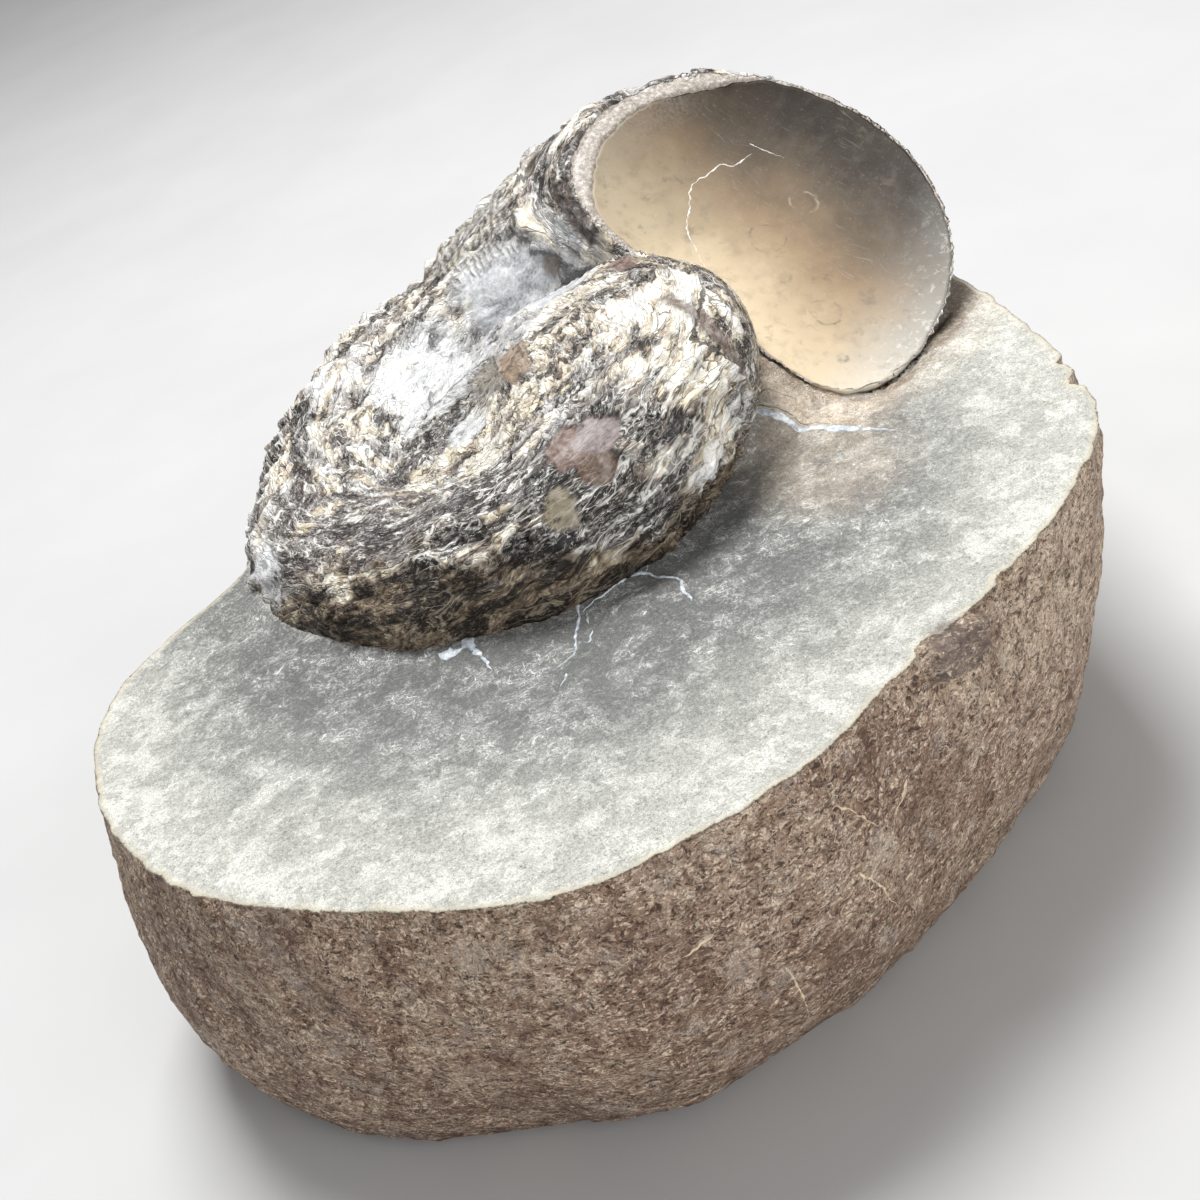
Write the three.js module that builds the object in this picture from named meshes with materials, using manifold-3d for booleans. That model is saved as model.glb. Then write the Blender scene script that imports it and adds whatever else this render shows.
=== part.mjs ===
// A fossil ammonite standing out of the prepared face of its limestone nodule.
//
// The shell is a plane coil that widens by a fixed ratio each turn. It leans a little to the left and
// is sunk about half its width into the stone. The living chamber is cut off at a slant, so its round
// sediment filling faces forwards and up. The stone is an oval nodule, ground flat across the top to
// free the shell, and flat underneath, where it rests.
//
// Millimetres, +Z up. The pieces are drawn in a frame whose origin is the middle of the ground face,
// and the group lifts them so that z = 0 is the surface that the stone rests on.
import * as THREE from 'three';
import { mergeVertices } from 'three/addons/utils/BufferGeometryUtils.js';
import Module from 'manifold-3d';

const wasm = await Module();
wasm.setup();

// ---- Driving dimensions -------------------------------------------------------------------------

// The coil. A whorl's height and width are fractions of its outer radius.
const MOUTH_RADIUS = 69.9;
const GROWTH_PER_TURN = 2.255;
const WHORL_HEIGHT = 0.608;
const WHORL_WIDTH = 0.565;
const WHORL_SQUARENESS = 2.12;
const COIL_CENTRE = new THREE.Vector3(1.6, 39.2, 6.2);
const COIL_LEAN = 17.2;

// The two stretches of the coil, in degrees back from the mouth. The outer one starts in front of the
// cut, and they share a few degrees where they join.
const OUTER_STRETCH = { from: -62, to: 142, steps: 30, sides: 28 };
const INNER_STRETCH = { from: 138, to: 412, steps: 38, sides: 24 };

// The slanting cut across the living chamber, by the direction that it faces, in degrees.
const MOUTH_AZIMUTH = 21.9;
const MOUTH_FACING = -76.1;
const MOUTH_RISE = 57.0;
const DISH_LENGTH = 45;
const DISH_WIDTH = 29;
const DISH_DEPTH = 2.4;
const DISH_SHIFT = 1.5;
const DISH_SEGMENTS = [24, 14];

// The side of the block that cuts away the shell in front of the mouth, larger than any whorl.
const CUT_BLOCK = 140;

// The worn inner whorls that fill the umbilicus, as one low dome.
const DOME_RADIUS = 25.5;
const DOME_HEIGHT = 10.8;
const DOME_SQUARENESS = 3;
const DOME_SEGMENTS = [28, 12];

// The nodule. Its sides follow a rounded profile whose squareness and swell differ from side to side.
const STONE_DEPTH = 48;
const PROFILE_DEPTH = 75.3;
const PROFILE_CENTRE = new THREE.Vector2(7.5, 20);
const SIDES = {
  left: { squareness: 4.6, swell: 0.076 },
  right: { squareness: 2.2, swell: -0.048 },
  near: { squareness: 2.0, swell: 0.037 },
  far: { squareness: 2.6, swell: 0.02 },
};
const WIDEST_PART = 0.45;
const EDGE_ROUNDING = 4;
const EDGE_TUCK = 0.05;
const RIM_STEPS = 88;

// The levels of the stone's rings: depths below the ground face, then rises above the base.
const SIDE_DEPTHS = [0, 3, 8, 14, 20, 26, 32, 38];
const EDGE_RISES = [EDGE_ROUNDING, 2.4, 1.2, 0.4, 0];

// The rim of the ground face, from the left end round behind the shell to the right and the front.
const RIM = [
  [-68.4, 8.6], [-66.4, 23.6], [-58.6, 33.4], [-47.8, 43.3], [-41.5, 56], [-33.5, 70],
  [-19.5, 83.5], [-2, 91.5], [18, 93.5], [38, 87], [54, 75], [63.5, 60], [67, 45], [68.2, 29],
  [68.3, 14], [65.2, -4.2], [55, -17.6], [43, -27.6], [27, -37.5], [14, -46], [-2, -50.4],
  [-15, -51], [-32, -43.6], [-52.6, -29], [-64.1, -11],
];

// The mound of stone left under the right end of the inner whorl.
const MOUND_CENTRE = new THREE.Vector3(24, 42, 0);
const MOUND_SIZE = new THREE.Vector3(17, 24, 6.5);
const MOUND_SEGMENTS = [24, 12];

// Clearance between the shell and its socket.
const FIT_GAP = 0.3;

// Points closer than this are one corner.
const WELD_DISTANCE = 1e-4;

// Where the middle of the ground face sits above the resting surface.
const FACE_PLACE = new THREE.Vector3(2.6, -23.7, STONE_DEPTH);

// ---- Shape helpers ------------------------------------------------------------------------------

const degrees = THREE.MathUtils.degToRad;
const power = (value, exponent) => Math.sign(value) * Math.abs(value) ** exponent;

// A closed body through rings with the same number of points, with a flat fan over each end.
function loft(rings) {
  const count = rings[0].length;
  const points = rings.flat();
  const faces = [];
  for (let ring = 0; ring < rings.length - 1; ring += 1) {
    for (let step = 0; step < count; step += 1) {
      const next = (step + 1) % count;
      const low = ring * count;
      const high = low + count;
      faces.push(low + step, low + next, high + next, low + step, high + next, high + step);
    }
  }
  for (const [ring, flip] of [[0, true], [rings.length - 1, false]]) {
    const middle = points.length;
    points.push(average(rings[ring]));
    for (let step = 0; step < count; step += 1) {
      const here = ring * count + step;
      const next = ring * count + (step + 1) % count;
      faces.push(middle, flip ? next : here, flip ? here : next);
    }
  }
  const geometry = new THREE.BufferGeometry().setFromPoints(points);
  geometry.setIndex(faces);
  return geometry;
}

function average(points) {
  const sum = points.reduce((total, point) => total.add(point), new THREE.Vector3());
  return sum.divideScalar(points.length);
}

// A closed geometry as a solid, turned right side out.
function solid(geometry) {
  const bare = new THREE.BufferGeometry();
  bare.setAttribute('position', geometry.getAttribute('position'));
  bare.setIndex(geometry.getIndex());
  const merged = mergeVertices(bare, WELD_DISTANCE);
  const points = merged.getAttribute('position').array;
  const whole = [];
  const index = merged.getIndex().array;
  for (let at = 0; at < index.length; at += 3) {
    const [a, b, c] = index.slice(at, at + 3);
    if (a !== b && b !== c && c !== a) {
      whole.push(a, b, c);
    }
  }
  const triangles = signedVolume(points, whole) < 0 ? whole.reverse() : whole;
  return new wasm.Manifold(new wasm.Mesh({
    numProp: 3,
    vertProperties: new Float32Array(points),
    triVerts: new Uint32Array(triangles),
  }));
}

function signedVolume(points, triangles) {
  const corner = (at) => new THREE.Vector3().fromArray(points, 3 * triangles[at]);
  let total = 0;
  for (let at = 0; at < triangles.length; at += 3) {
    total += corner(at).dot(corner(at + 1).cross(corner(at + 2)));
  }
  return total;
}

// A solid as a named mesh of flat facets.
function mesh(name, body, material) {
  const { vertProperties, triVerts, numProp } = body.getMesh();
  const geometry = new THREE.BufferGeometry();
  geometry.setAttribute('position', new THREE.BufferAttribute(vertProperties, numProp));
  geometry.setIndex(new THREE.BufferAttribute(triVerts, 1));
  geometry.computeVertexNormals();
  const piece = new THREE.Mesh(geometry, material);
  piece.name = name;
  return piece;
}

// ---- The ammonite -------------------------------------------------------------------------------

// The coil's own frame: its axis leans to the left by COIL_LEAN.
const coilFrame = new THREE.Matrix4()
  .makeRotationY(-degrees(COIL_LEAN))
  .setPosition(COIL_CENTRE);

const mouthNormal = new THREE.Vector3(
  Math.cos(degrees(MOUTH_RISE)) * Math.cos(degrees(MOUTH_FACING)),
  Math.cos(degrees(MOUTH_RISE)) * Math.sin(degrees(MOUTH_FACING)),
  Math.sin(degrees(MOUTH_RISE)),
);

// The outer radius of the whorl, a given number of degrees back from the mouth.
function outerRadius(back) {
  return MOUTH_RADIUS * GROWTH_PER_TURN ** (-back / 360);
}

// One ring of the whorl's section, grown all round by the clearance.
function whorlRing(back, sides, clearance) {
  const radius = outerRadius(back);
  const height = WHORL_HEIGHT * radius / 2;
  const width = WHORL_WIDTH * radius / 2;
  const azimuth = degrees(MOUTH_AZIMUTH + back);
  const ring = [];
  for (let step = 0; step < sides; step += 1) {
    const turn = 2 * Math.PI * (step + 0.5) / sides;
    const out = power(Math.cos(turn), 2 / WHORL_SQUARENESS) * (height + clearance);
    const up = power(Math.sin(turn), 2 / WHORL_SQUARENESS) * (width + clearance);
    const reach = radius - height + out;
    const point = new THREE.Vector3(reach * Math.cos(azimuth), reach * Math.sin(azimuth), up);
    ring.push(point.applyMatrix4(coilFrame));
  }
  return ring;
}

function whorl({ from, to, steps, sides }, clearance) {
  const rings = [];
  for (let step = 0; step <= steps; step += 1) {
    rings.push(whorlRing(from + (to - from) * step / steps, sides, clearance));
  }
  return solid(loft(rings));
}

// The middle of the cut face, on the whorl's centre line at the mouth.
function mouthCentre() {
  const azimuth = degrees(MOUTH_AZIMUTH);
  const reach = MOUTH_RADIUS * (1 - WHORL_HEIGHT / 2);
  return new THREE.Vector3(reach * Math.cos(azimuth), reach * Math.sin(azimuth), 0)
    .applyMatrix4(coilFrame);
}

// A frame on the cut face: x runs from lobe to lobe, y outwards from the coil and z faces forwards.
function mouthFrame(lift) {
  const outwards = mouthCentre().sub(COIL_CENTRE);
  const along = outwards.clone().cross(mouthNormal).normalize();
  const across = mouthNormal.clone().cross(along);
  const place = mouthCentre().addScaledVector(mouthNormal, lift);
  return new THREE.Matrix4().makeBasis(along, across, mouthNormal).setPosition(place);
}

// Everything in front of the cut, as one big block.
function beyondMouth(clearance) {
  const block = new THREE.BoxGeometry(CUT_BLOCK, CUT_BLOCK, CUT_BLOCK);
  block.applyMatrix4(mouthFrame(CUT_BLOCK / 2 + clearance));
  return solid(block);
}

function dish() {
  const hollow = new THREE.SphereGeometry(1, ...DISH_SEGMENTS);
  hollow.scale(DISH_LENGTH / 2, DISH_WIDTH / 2, DISH_DEPTH);
  hollow.translate(0, DISH_SHIFT, 0);
  hollow.applyMatrix4(mouthFrame(0));
  return solid(hollow);
}

// A round dome with a flattened top: a sphere's points are moved out to a squarer one.
function innerDome(clearance) {
  const dome = new THREE.SphereGeometry(1, ...DOME_SEGMENTS).rotateX(Math.PI / 2);
  const radius = DOME_RADIUS + clearance;
  const size = new THREE.Vector3(radius, radius, DOME_HEIGHT + clearance);
  const places = dome.getAttribute('position');
  for (let at = 0; at < places.count; at += 1) {
    const point = new THREE.Vector3().fromBufferAttribute(places, at);
    const flat = Math.hypot(point.x, point.y) ** DOME_SQUARENESS;
    const tall = Math.abs(point.z) ** DOME_SQUARENESS;
    point.divideScalar((flat + tall) ** (1 / DOME_SQUARENESS));
    point.multiply(size).applyMatrix4(coilFrame);
    places.setXYZ(at, point.x, point.y, point.z);
  }
  return solid(dome);
}

function ammoniteBody(clearance) {
  const outerPart = whorl(OUTER_STRETCH, clearance).subtract(beyondMouth(clearance));
  const innerPart = whorl(INNER_STRETCH, clearance);
  return outerPart.add(innerPart).add(innerDome(clearance));
}

// ---- The nodule ---------------------------------------------------------------------------------

// How far the side stands out at a given depth, as a fraction of the rim's reach. The four sides'
// profiles blend into each other round the stone.
function sideReach(direction, depth) {
  const { x, y } = direction;
  const shares = {
    left: Math.max(-x, 0) ** 2,
    right: Math.max(x, 0) ** 2,
    near: Math.max(-y, 0) ** 2,
    far: Math.max(y, 0) ** 2,
  };
  const part = depth / PROFILE_DEPTH;
  const wave = Math.sin(Math.PI * Math.min(part / (2 * WIDEST_PART), 1));
  let reach = 0;
  for (const [side, share] of Object.entries(shares)) {
    const { squareness, swell } = SIDES[side];
    reach += share * (1 - part ** squareness) ** (1 / squareness) * (1 + swell * wave);
  }
  const tuck = Math.max(0, (depth - STONE_DEPTH + EDGE_ROUNDING) / EDGE_ROUNDING);
  return reach * (1 - EDGE_TUCK * (1 - Math.sqrt(1 - tuck ** 2)));
}

// The stone as a stack of rings: each is the rim drawn in towards the middle, or swollen out from it.
function noduleBody() {
  const corners = RIM.map(([x, y]) => new THREE.Vector3(x, y, 0));
  const path = new THREE.CatmullRomCurve3(corners, true, 'catmullrom');
  const rim = path.getPoints(RIM_STEPS).slice(0, -1);
  const depths = [...SIDE_DEPTHS, ...EDGE_RISES.map((rise) => STONE_DEPTH - rise)];
  const rings = depths.map((depth) => rim.map((point) => {
    const arm = new THREE.Vector2(point.x, point.y).sub(PROFILE_CENTRE);
    const reach = sideReach(arm.clone().normalize(), depth);
    const place = arm.multiplyScalar(reach).add(PROFILE_CENTRE);
    return new THREE.Vector3(place.x, place.y, -depth);
  }));
  return solid(loft(rings));
}

function mound() {
  const heap = new THREE.SphereGeometry(1, ...MOUND_SEGMENTS);
  heap.scale(...MOUND_SIZE.toArray());
  heap.translate(...MOUND_CENTRE.toArray());
  return solid(heap);
}

// ---- The model ----------------------------------------------------------------------------------

const limestone = new THREE.MeshStandardMaterial({ color: 0x9a948a, roughness: 0.9, metalness: 0 });
const fossilShell = new THREE.MeshStandardMaterial({ color: 0x7d7366, roughness: 0.6, metalness: 0 });

const nodule = noduleBody().add(mound()).subtract(ammoniteBody(FIT_GAP));
const ammonite = ammoniteBody(0).subtract(dish());

const model = new THREE.Group();
model.add(mesh('matrix_nodule', nodule, limestone));
model.add(mesh('ammonite', ammonite, fossilShell));
model.position.copy(FACE_PLACE);

export default model;
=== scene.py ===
# %% [markdown]
# # A fossil ammonite in its nodule
#
# The object is a coiled shell, turned to stone, that stands out of the ground face of a limestone
# nodule. This lesson builds both by formula: the shell's coil, its flaking surface, the slanting cut
# across its living chamber, and the stone around it. Everything lies in the frame of the packed model.
# Lengths are in millimetres, measured from the middle of the ground face, with z up out of the face and
# y away from the empty near side. They are turned into metres only when a mesh is made.

# %% Load the frame
import math

import bmesh
import bpy
import numpy as np
from mathutils import Matrix, Vector
from mathutils.bvhtree import BVHTree


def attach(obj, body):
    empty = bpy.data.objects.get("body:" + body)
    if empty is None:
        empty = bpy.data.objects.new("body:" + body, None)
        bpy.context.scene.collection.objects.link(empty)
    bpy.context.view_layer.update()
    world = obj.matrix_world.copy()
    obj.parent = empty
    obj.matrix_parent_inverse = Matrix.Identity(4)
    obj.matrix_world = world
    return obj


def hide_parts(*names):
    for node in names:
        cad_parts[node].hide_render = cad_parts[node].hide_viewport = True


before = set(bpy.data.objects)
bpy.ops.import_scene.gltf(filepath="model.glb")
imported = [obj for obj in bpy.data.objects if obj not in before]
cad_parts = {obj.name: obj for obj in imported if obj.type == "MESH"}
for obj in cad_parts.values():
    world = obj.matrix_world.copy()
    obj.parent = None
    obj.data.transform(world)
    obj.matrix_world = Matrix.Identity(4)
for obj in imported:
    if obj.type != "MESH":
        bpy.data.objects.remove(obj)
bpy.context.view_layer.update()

MM = 0.001
FACE_PLACE = np.array([2.6, -23.7, 48.0])


def to_frame(points):
    """Points in mm from the middle of the ground face, as metres in the model's frame."""
    return (np.asarray(points, float) + FACE_PLACE) * MM


print("solids in the frame:", sorted(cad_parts))

# %% [markdown]
# ## Repeatable noise
#
# Stone and worn shell are irregular at every scale. Blender's own noise works inside materials, but the
# shapes here are made point by point, so the same kind of noise is written with numpy. Gradient noise
# gives smooth lumps; cells give pits and flakes. Both hash whole-numbered grid corners, so nothing is
# random from one run to the next.

# %% Noise on arrays of points
GRADIENTS = np.array([
    (1, 1, 0), (-1, 1, 0), (1, -1, 0), (-1, -1, 0), (1, 0, 1), (-1, 0, 1), (1, 0, -1), (-1, 0, -1),
    (0, 1, 1), (0, -1, 1), (0, 1, -1), (0, -1, -1), (1, 1, 1), (-1, -1, 1), (-1, 1, -1), (1, -1, -1),
], float)
HASH_FACTORS = (73856093, 19349663, 83492791)


def scramble(corner, seed):
    """A repeatable 32-bit number for each whole-numbered grid corner."""
    mixed = np.full(corner.shape[:-1], seed * 2654435761 % 2**32, np.uint64)
    for axis, factor in enumerate(HASH_FACTORS):
        mixed ^= (corner[..., axis].astype(np.int64) * factor & 0xFFFFFFFF).astype(np.uint64)
    mixed = (mixed ^ (mixed >> np.uint64(15))) * np.uint64(2246822519) & np.uint64(0xFFFFFFFF)
    mixed = (mixed ^ (mixed >> np.uint64(13))) * np.uint64(3266489917) & np.uint64(0xFFFFFFFF)
    return mixed ^ (mixed >> np.uint64(16))


def noise(points, seed=0):
    """Smooth gradient noise, about -1 to 1, with lumps one unit across."""
    low = np.floor(points)
    part = points - low
    ease = part**3 * (part * (part * 6 - 15) + 10)
    total = np.zeros(len(points))
    for corner in np.ndindex(2, 2, 2):
        gradient = GRADIENTS[(scramble(low + corner, seed) & np.uint64(15)).astype(int)]
        share = np.where(np.array(corner) == 1, ease, 1 - ease).prod(1)
        total += share * ((part - corner) * gradient).sum(1)
    return total * 1.4


def fractal(points, octaves, seed=0, roughness=0.5):
    """Noise with finer noise added on top, each octave half the size of the last."""
    total = np.zeros(len(points))
    for octave in range(octaves):
        total += roughness**octave * noise(points * 2**octave + 17.3 * octave, seed + octave)
    return total


def cells(points, seed=0):
    """Distances to the two nearest cell centres, and the nearest cell's own number, 0 to 1."""
    low = np.floor(points)
    nearest = np.full(len(points), 9.0)
    second = np.full(len(points), 9.0)
    number = np.zeros(len(points))
    for step in np.ndindex(3, 3, 3):
        corner = low + step - 1
        place = corner + np.stack([scramble(corner, seed + k) / 2**32 for k in (11, 12, 13)], 1)
        distance = np.linalg.norm(points - place, axis=1)
        closer = distance < nearest
        second = np.where(closer, nearest, np.minimum(second, distance))
        number = np.where(closer, scramble(corner, seed + 14) / 2**32, number)
        nearest = np.where(closer, distance, nearest)
    return nearest, second, number


def ease(value, low, high):
    """0 at low, 1 at high, and a smooth slope between; low may be the larger."""
    part = np.clip((value - low) / (high - low), 0, 1)
    return part * part * (3 - 2 * part)


print("noise at one place:", fractal(np.array([[1.5, 2.5, 3.5]]), 3).round(3))

# %% [markdown]
# ## The coil as a formula
#
# An ammonite grows by the same ratio each turn, so its whorl is one rounded section swept along a
# logarithmic spiral. The section is a superellipse: an ellipse a little squarer than usual. One formula
# gives both the points of the surface and, the other way round, where any point in space lies in the
# coil, which later steers the grain of the shell and lets the stone follow the shell closely.

# %% The coil's driving values
MOUTH_RADIUS = 69.9
GROWTH = 2.255
WHORL_HEIGHT = 0.608
WHORL_WIDTH = 0.565
SQUARENESS = 2.12
COIL_CENTRE = np.array([1.6, 39.2, 6.2])
COIL_LEAN = math.radians(-17.2)
MOUTH_AZIMUTH = 21.9
MOUTH_FACING = math.radians(-76.1)
MOUTH_RISE = math.radians(57.0)
FRONT_BACK, INNER_BACK = -62.0, 412.0
CUT_BACK = 142.0
DOME_RADIUS, DOME_HEIGHT, DOME_SQUARENESS = 25.5, 10.8, 3.0

lean = np.array(Matrix.Rotation(COIL_LEAN, 3, "Y"))
mouth_normal = np.array([
    math.cos(MOUTH_RISE) * math.cos(MOUTH_FACING),
    math.cos(MOUTH_RISE) * math.sin(MOUTH_FACING),
    math.sin(MOUTH_RISE),
])


def from_coil(points):
    """Points in the coil's own frame, whose z is its axis, as points from the ground face's middle."""
    return points @ lean.T + COIL_CENTRE


def into_coil(points):
    """The other way: points of the object in the coil's own frame."""
    return (points - COIL_CENTRE) @ lean


def outer_radius(back):
    """The whorl's outer radius, a number of degrees back from the mouth."""
    return MOUTH_RADIUS * GROWTH ** (-back / 360)


def power(value, exponent):
    """A power that keeps the sign."""
    return np.sign(value) * np.abs(value) ** exponent


def coil_point(back, turn):
    """The surface point a number of degrees back, at an angle round the section, with 0 outermost."""
    radius = outer_radius(back)
    height, width = WHORL_HEIGHT * radius / 2, WHORL_WIDTH * radius / 2
    reach = radius - height + power(np.cos(turn), 2 / SQUARENESS) * height
    azimuth = np.radians(MOUTH_AZIMUTH + back)
    up = power(np.sin(turn), 2 / SQUARENESS) * width
    return from_coil(np.stack([reach * np.cos(azimuth), reach * np.sin(azimuth), up], -1))


mouth_centre = from_coil(np.array([
    MOUTH_RADIUS * (1 - WHORL_HEIGHT / 2) * math.cos(math.radians(MOUTH_AZIMUTH)),
    MOUTH_RADIUS * (1 - WHORL_HEIGHT / 2) * math.sin(math.radians(MOUTH_AZIMUTH)), 0]))
mouth_along = np.cross(mouth_centre - COIL_CENTRE, mouth_normal)
mouth_along /= np.linalg.norm(mouth_along)
mouth_across = np.cross(mouth_normal, mouth_along)


def in_mouth_frame(points):
    """Along, across and above the cut face, in mm."""
    return (points - mouth_centre) @ np.stack([mouth_along, mouth_across, mouth_normal], 1)


print("mouth centre:", mouth_centre.round(1), "facing", mouth_normal.round(3))

# %% [markdown]
# ## Finding a point's place in the coil
#
# For a point in space this gives how many degrees back it lies, how far it is from the whorl's middle
# line as a fraction of the section (1 is the surface), and about how far outside the shell it is. The
# turns overlap, so every turn is tried and the one that the point lies deepest in wins. The small inner
# turns are worn down to a low dome that fills the middle of the coil.

# %% Places in the coil
DEEPEST_BACK = 1120.0


def whorl_depth(radius, height, back):
    """The distance from the middle of the section as a fraction of it, and in mm from the surface."""
    outer = outer_radius(back)
    tall, wide = WHORL_HEIGHT * outer / 2, WHORL_WIDTH * outer / 2
    part = (np.abs((radius - outer + tall) / tall)**SQUARENESS + np.abs(height / wide)**SQUARENESS)
    part **= 1 / SQUARENESS
    return part, (part - 1) * np.minimum(tall, wide)


def coil_place(points):
    """The degrees back, the fraction of the section, and the section's angle, of the nearest whorl."""
    local = into_coil(points)
    radius = np.hypot(local[:, 0], local[:, 1])
    azimuth = np.degrees(np.arctan2(local[:, 1], local[:, 0])) - MOUTH_AZIMUTH
    best = np.full(len(points), 1e9)
    found_back = np.zeros(len(points))
    for turn in (-1, 0, 1, 2, 3):
        back = azimuth + 360 * turn
        part, _ = whorl_depth(radius, local[:, 2], np.clip(back, FRONT_BACK, DEEPEST_BACK))
        part = np.where((back < FRONT_BACK) | (back > DEEPEST_BACK), 1e8, part)
        found_back = np.where(part < best, back, found_back)
        best = np.minimum(best, part)
    outer = outer_radius(found_back)
    tall, wide = WHORL_HEIGHT * outer / 2, WHORL_WIDTH * outer / 2
    turn = np.arctan2(local[:, 2] / wide, (radius - outer + tall) / tall)
    return found_back, best, turn, radius


def shell_distance(points):
    """About how many mm each point is outside the whole shell; inside it is negative."""
    local = into_coil(points)
    radius = np.hypot(local[:, 0], local[:, 1])
    azimuth = np.degrees(np.arctan2(local[:, 1], local[:, 0])) - MOUTH_AZIMUTH
    past_cut = in_mouth_frame(points)[:, 2]
    dome = (radius / DOME_RADIUS)**DOME_SQUARENESS + (np.abs(local[:, 2]) / DOME_HEIGHT)**DOME_SQUARENESS
    nearest = (dome**(1 / DOME_SQUARENESS) - 1) * DOME_HEIGHT
    for turn in (-1, 0, 1, 2):
        back = azimuth + 360 * turn
        _, gap = whorl_depth(radius, local[:, 2], np.clip(back, FRONT_BACK, INNER_BACK))
        gap = np.where(back < CUT_BACK, np.maximum(gap, past_cut), gap)
        gap = np.where((back < FRONT_BACK) | (back > INNER_BACK), 1e3, gap)
        nearest = np.minimum(nearest, gap)
    return nearest


print("the mouth's centre lies", shell_distance(mouth_centre[None]).round(1), "mm outside the shell")

# %% [markdown]
# ## Small helpers for meshes
#
# Meshes are made straight from arrays of points and faces. A grid of rings gives its faces by a rule,
# and a fan closes each end.

# %% Mesh helpers
def make_piece(name, points, faces):
    """A smooth-shaded mesh object from points in mm and lists of faces."""
    mesh = bpy.data.meshes.new(name)
    mesh.from_pydata(to_frame(points).tolist(), [], faces)
    mesh.validate()
    shape = bmesh.new()
    shape.from_mesh(mesh)
    bmesh.ops.recalc_face_normals(shape, faces=shape.faces)
    shape.to_mesh(mesh)
    shape.free()
    mesh.polygons.foreach_set("use_smooth", np.ones(len(mesh.polygons), bool))
    piece = bpy.data.objects.new(name, mesh)
    bpy.context.scene.collection.objects.link(piece)
    return piece


def ring_faces(rings, count, first=0):
    """Quads between rings that each have the same number of points."""
    ring, step = np.meshgrid(np.arange(rings - 1), np.arange(count), indexing="ij")
    low = first + ring * count
    after = (step + 1) % count
    corners = [low + step, low + after, low + count + after, low + count + step]
    return np.stack(corners, -1).reshape(-1, 4).tolist()


def fan(ring_start, count, middle, flip):
    """Triangles from a middle point to a ring."""
    steps = [(ring_start + k, ring_start + (k + 1) % count) for k in range(count)]
    return [(middle, b, a) if flip else (middle, a, b) for a, b in steps]


def set_values(piece, name, values):
    """Stores one number for each point, which a material can read by name."""
    attribute = piece.data.attributes.new(name, "FLOAT", "POINT")
    attribute.data.foreach_set("value", np.asarray(values, np.float32))


def set_vectors(piece, name, vectors):
    """The same for three numbers a point."""
    attribute = piece.data.attributes.new(name, "FLOAT_VECTOR", "POINT")
    attribute.data.foreach_set("vector", np.asarray(vectors, np.float32).ravel())


def face_arrays(mesh):
    """All faces as triangles of point numbers."""
    mesh.calc_loop_triangles()
    triangles = np.zeros(len(mesh.loop_triangles) * 3, np.int32)
    mesh.loop_triangles.foreach_get("vertices", triangles)
    return triangles.reshape(-1, 3)


def point_normals(points, triangles):
    """A unit normal for each point, weighted by the area of the faces round it."""
    a, b, c = (points[triangles[:, k]] for k in range(3))
    across = np.cross(b - a, c - a)
    total = np.zeros_like(points)
    for axis in range(3):
        for corner in range(3):
            total[:, axis] += np.bincount(triangles[:, corner], across[:, axis], len(points))
    return total / np.maximum(np.linalg.norm(total, axis=1, keepdims=True), 1e-12)


def relax(points, edges, rounds, share=0.5):
    """Moves each point part of the way to the middle of its neighbours; share may differ by point."""
    share = np.broadcast_to(np.asarray(share, float).reshape(-1, 1), (len(points), 1))
    count = np.bincount(edges.ravel(), minlength=len(points))[:, None]
    for _ in range(rounds):
        total = np.zeros_like(points)
        for axis in range(points.shape[1]):
            total[:, axis] += np.bincount(edges[:, 0], points[edges[:, 1], axis], len(points))
            total[:, axis] += np.bincount(edges[:, 1], points[edges[:, 0], axis], len(points))
        points = points + share * (total / np.maximum(count, 1) - points)
    return points


print("two rings of six points make", len(ring_faces(2, 6)), "faces")

# %% [markdown]
# ## The bare coil
#
# The whorl is swept from the slanting cut at its mouth to its innermost end, and a low dome fills the
# middle. The two overlap, so a voxel remesh joins them into one skin of even, small quads, which is
# what a displaced surface needs. The alternative, boolean joins, would leave long thin faces.

# %% Sweep the whorl from the cut inwards
SWEEP_RINGS = 420
SWEEP_SIDES = 120
VOXEL = 0.58


def cut_backs(turns):
    """How far back the cut meets the whorl, for each angle round the section."""
    backs = np.arange(FRONT_BACK, CUT_BACK, 0.5)
    heights = np.array([in_mouth_frame(coil_point(back, turns))[:, 2] for back in backs])
    behind = (heights < 0).argmax(0)
    columns = np.arange(len(turns))
    after, before = heights[behind, columns], heights[np.maximum(behind - 1, 0), columns]
    return backs[behind] - 0.5 * after / np.minimum(after - before, -1e-9)


turns = np.linspace(0, 2 * np.pi, SWEEP_SIDES, endpoint=False)
first_back = cut_backs(turns)
share = np.linspace(0, 1, SWEEP_RINGS)[:, None]
sweep = coil_point(first_back + (INNER_BACK - first_back) * share, turns[None, :] + 0 * share)
whorl_points = np.concatenate([sweep.reshape(-1, 3), [sweep[0].mean(0), sweep[-1].mean(0)]])
last_ring = (SWEEP_RINGS - 1) * SWEEP_SIDES
whorl_faces = ring_faces(SWEEP_RINGS, SWEEP_SIDES)
whorl_faces += fan(0, SWEEP_SIDES, len(whorl_points) - 2, True)
whorl_faces += fan(last_ring, SWEEP_SIDES, len(whorl_points) - 1, False)
print("the cut meets the whorl", first_back.min().round(1), "to", first_back.max().round(1), "degrees back")

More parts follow.
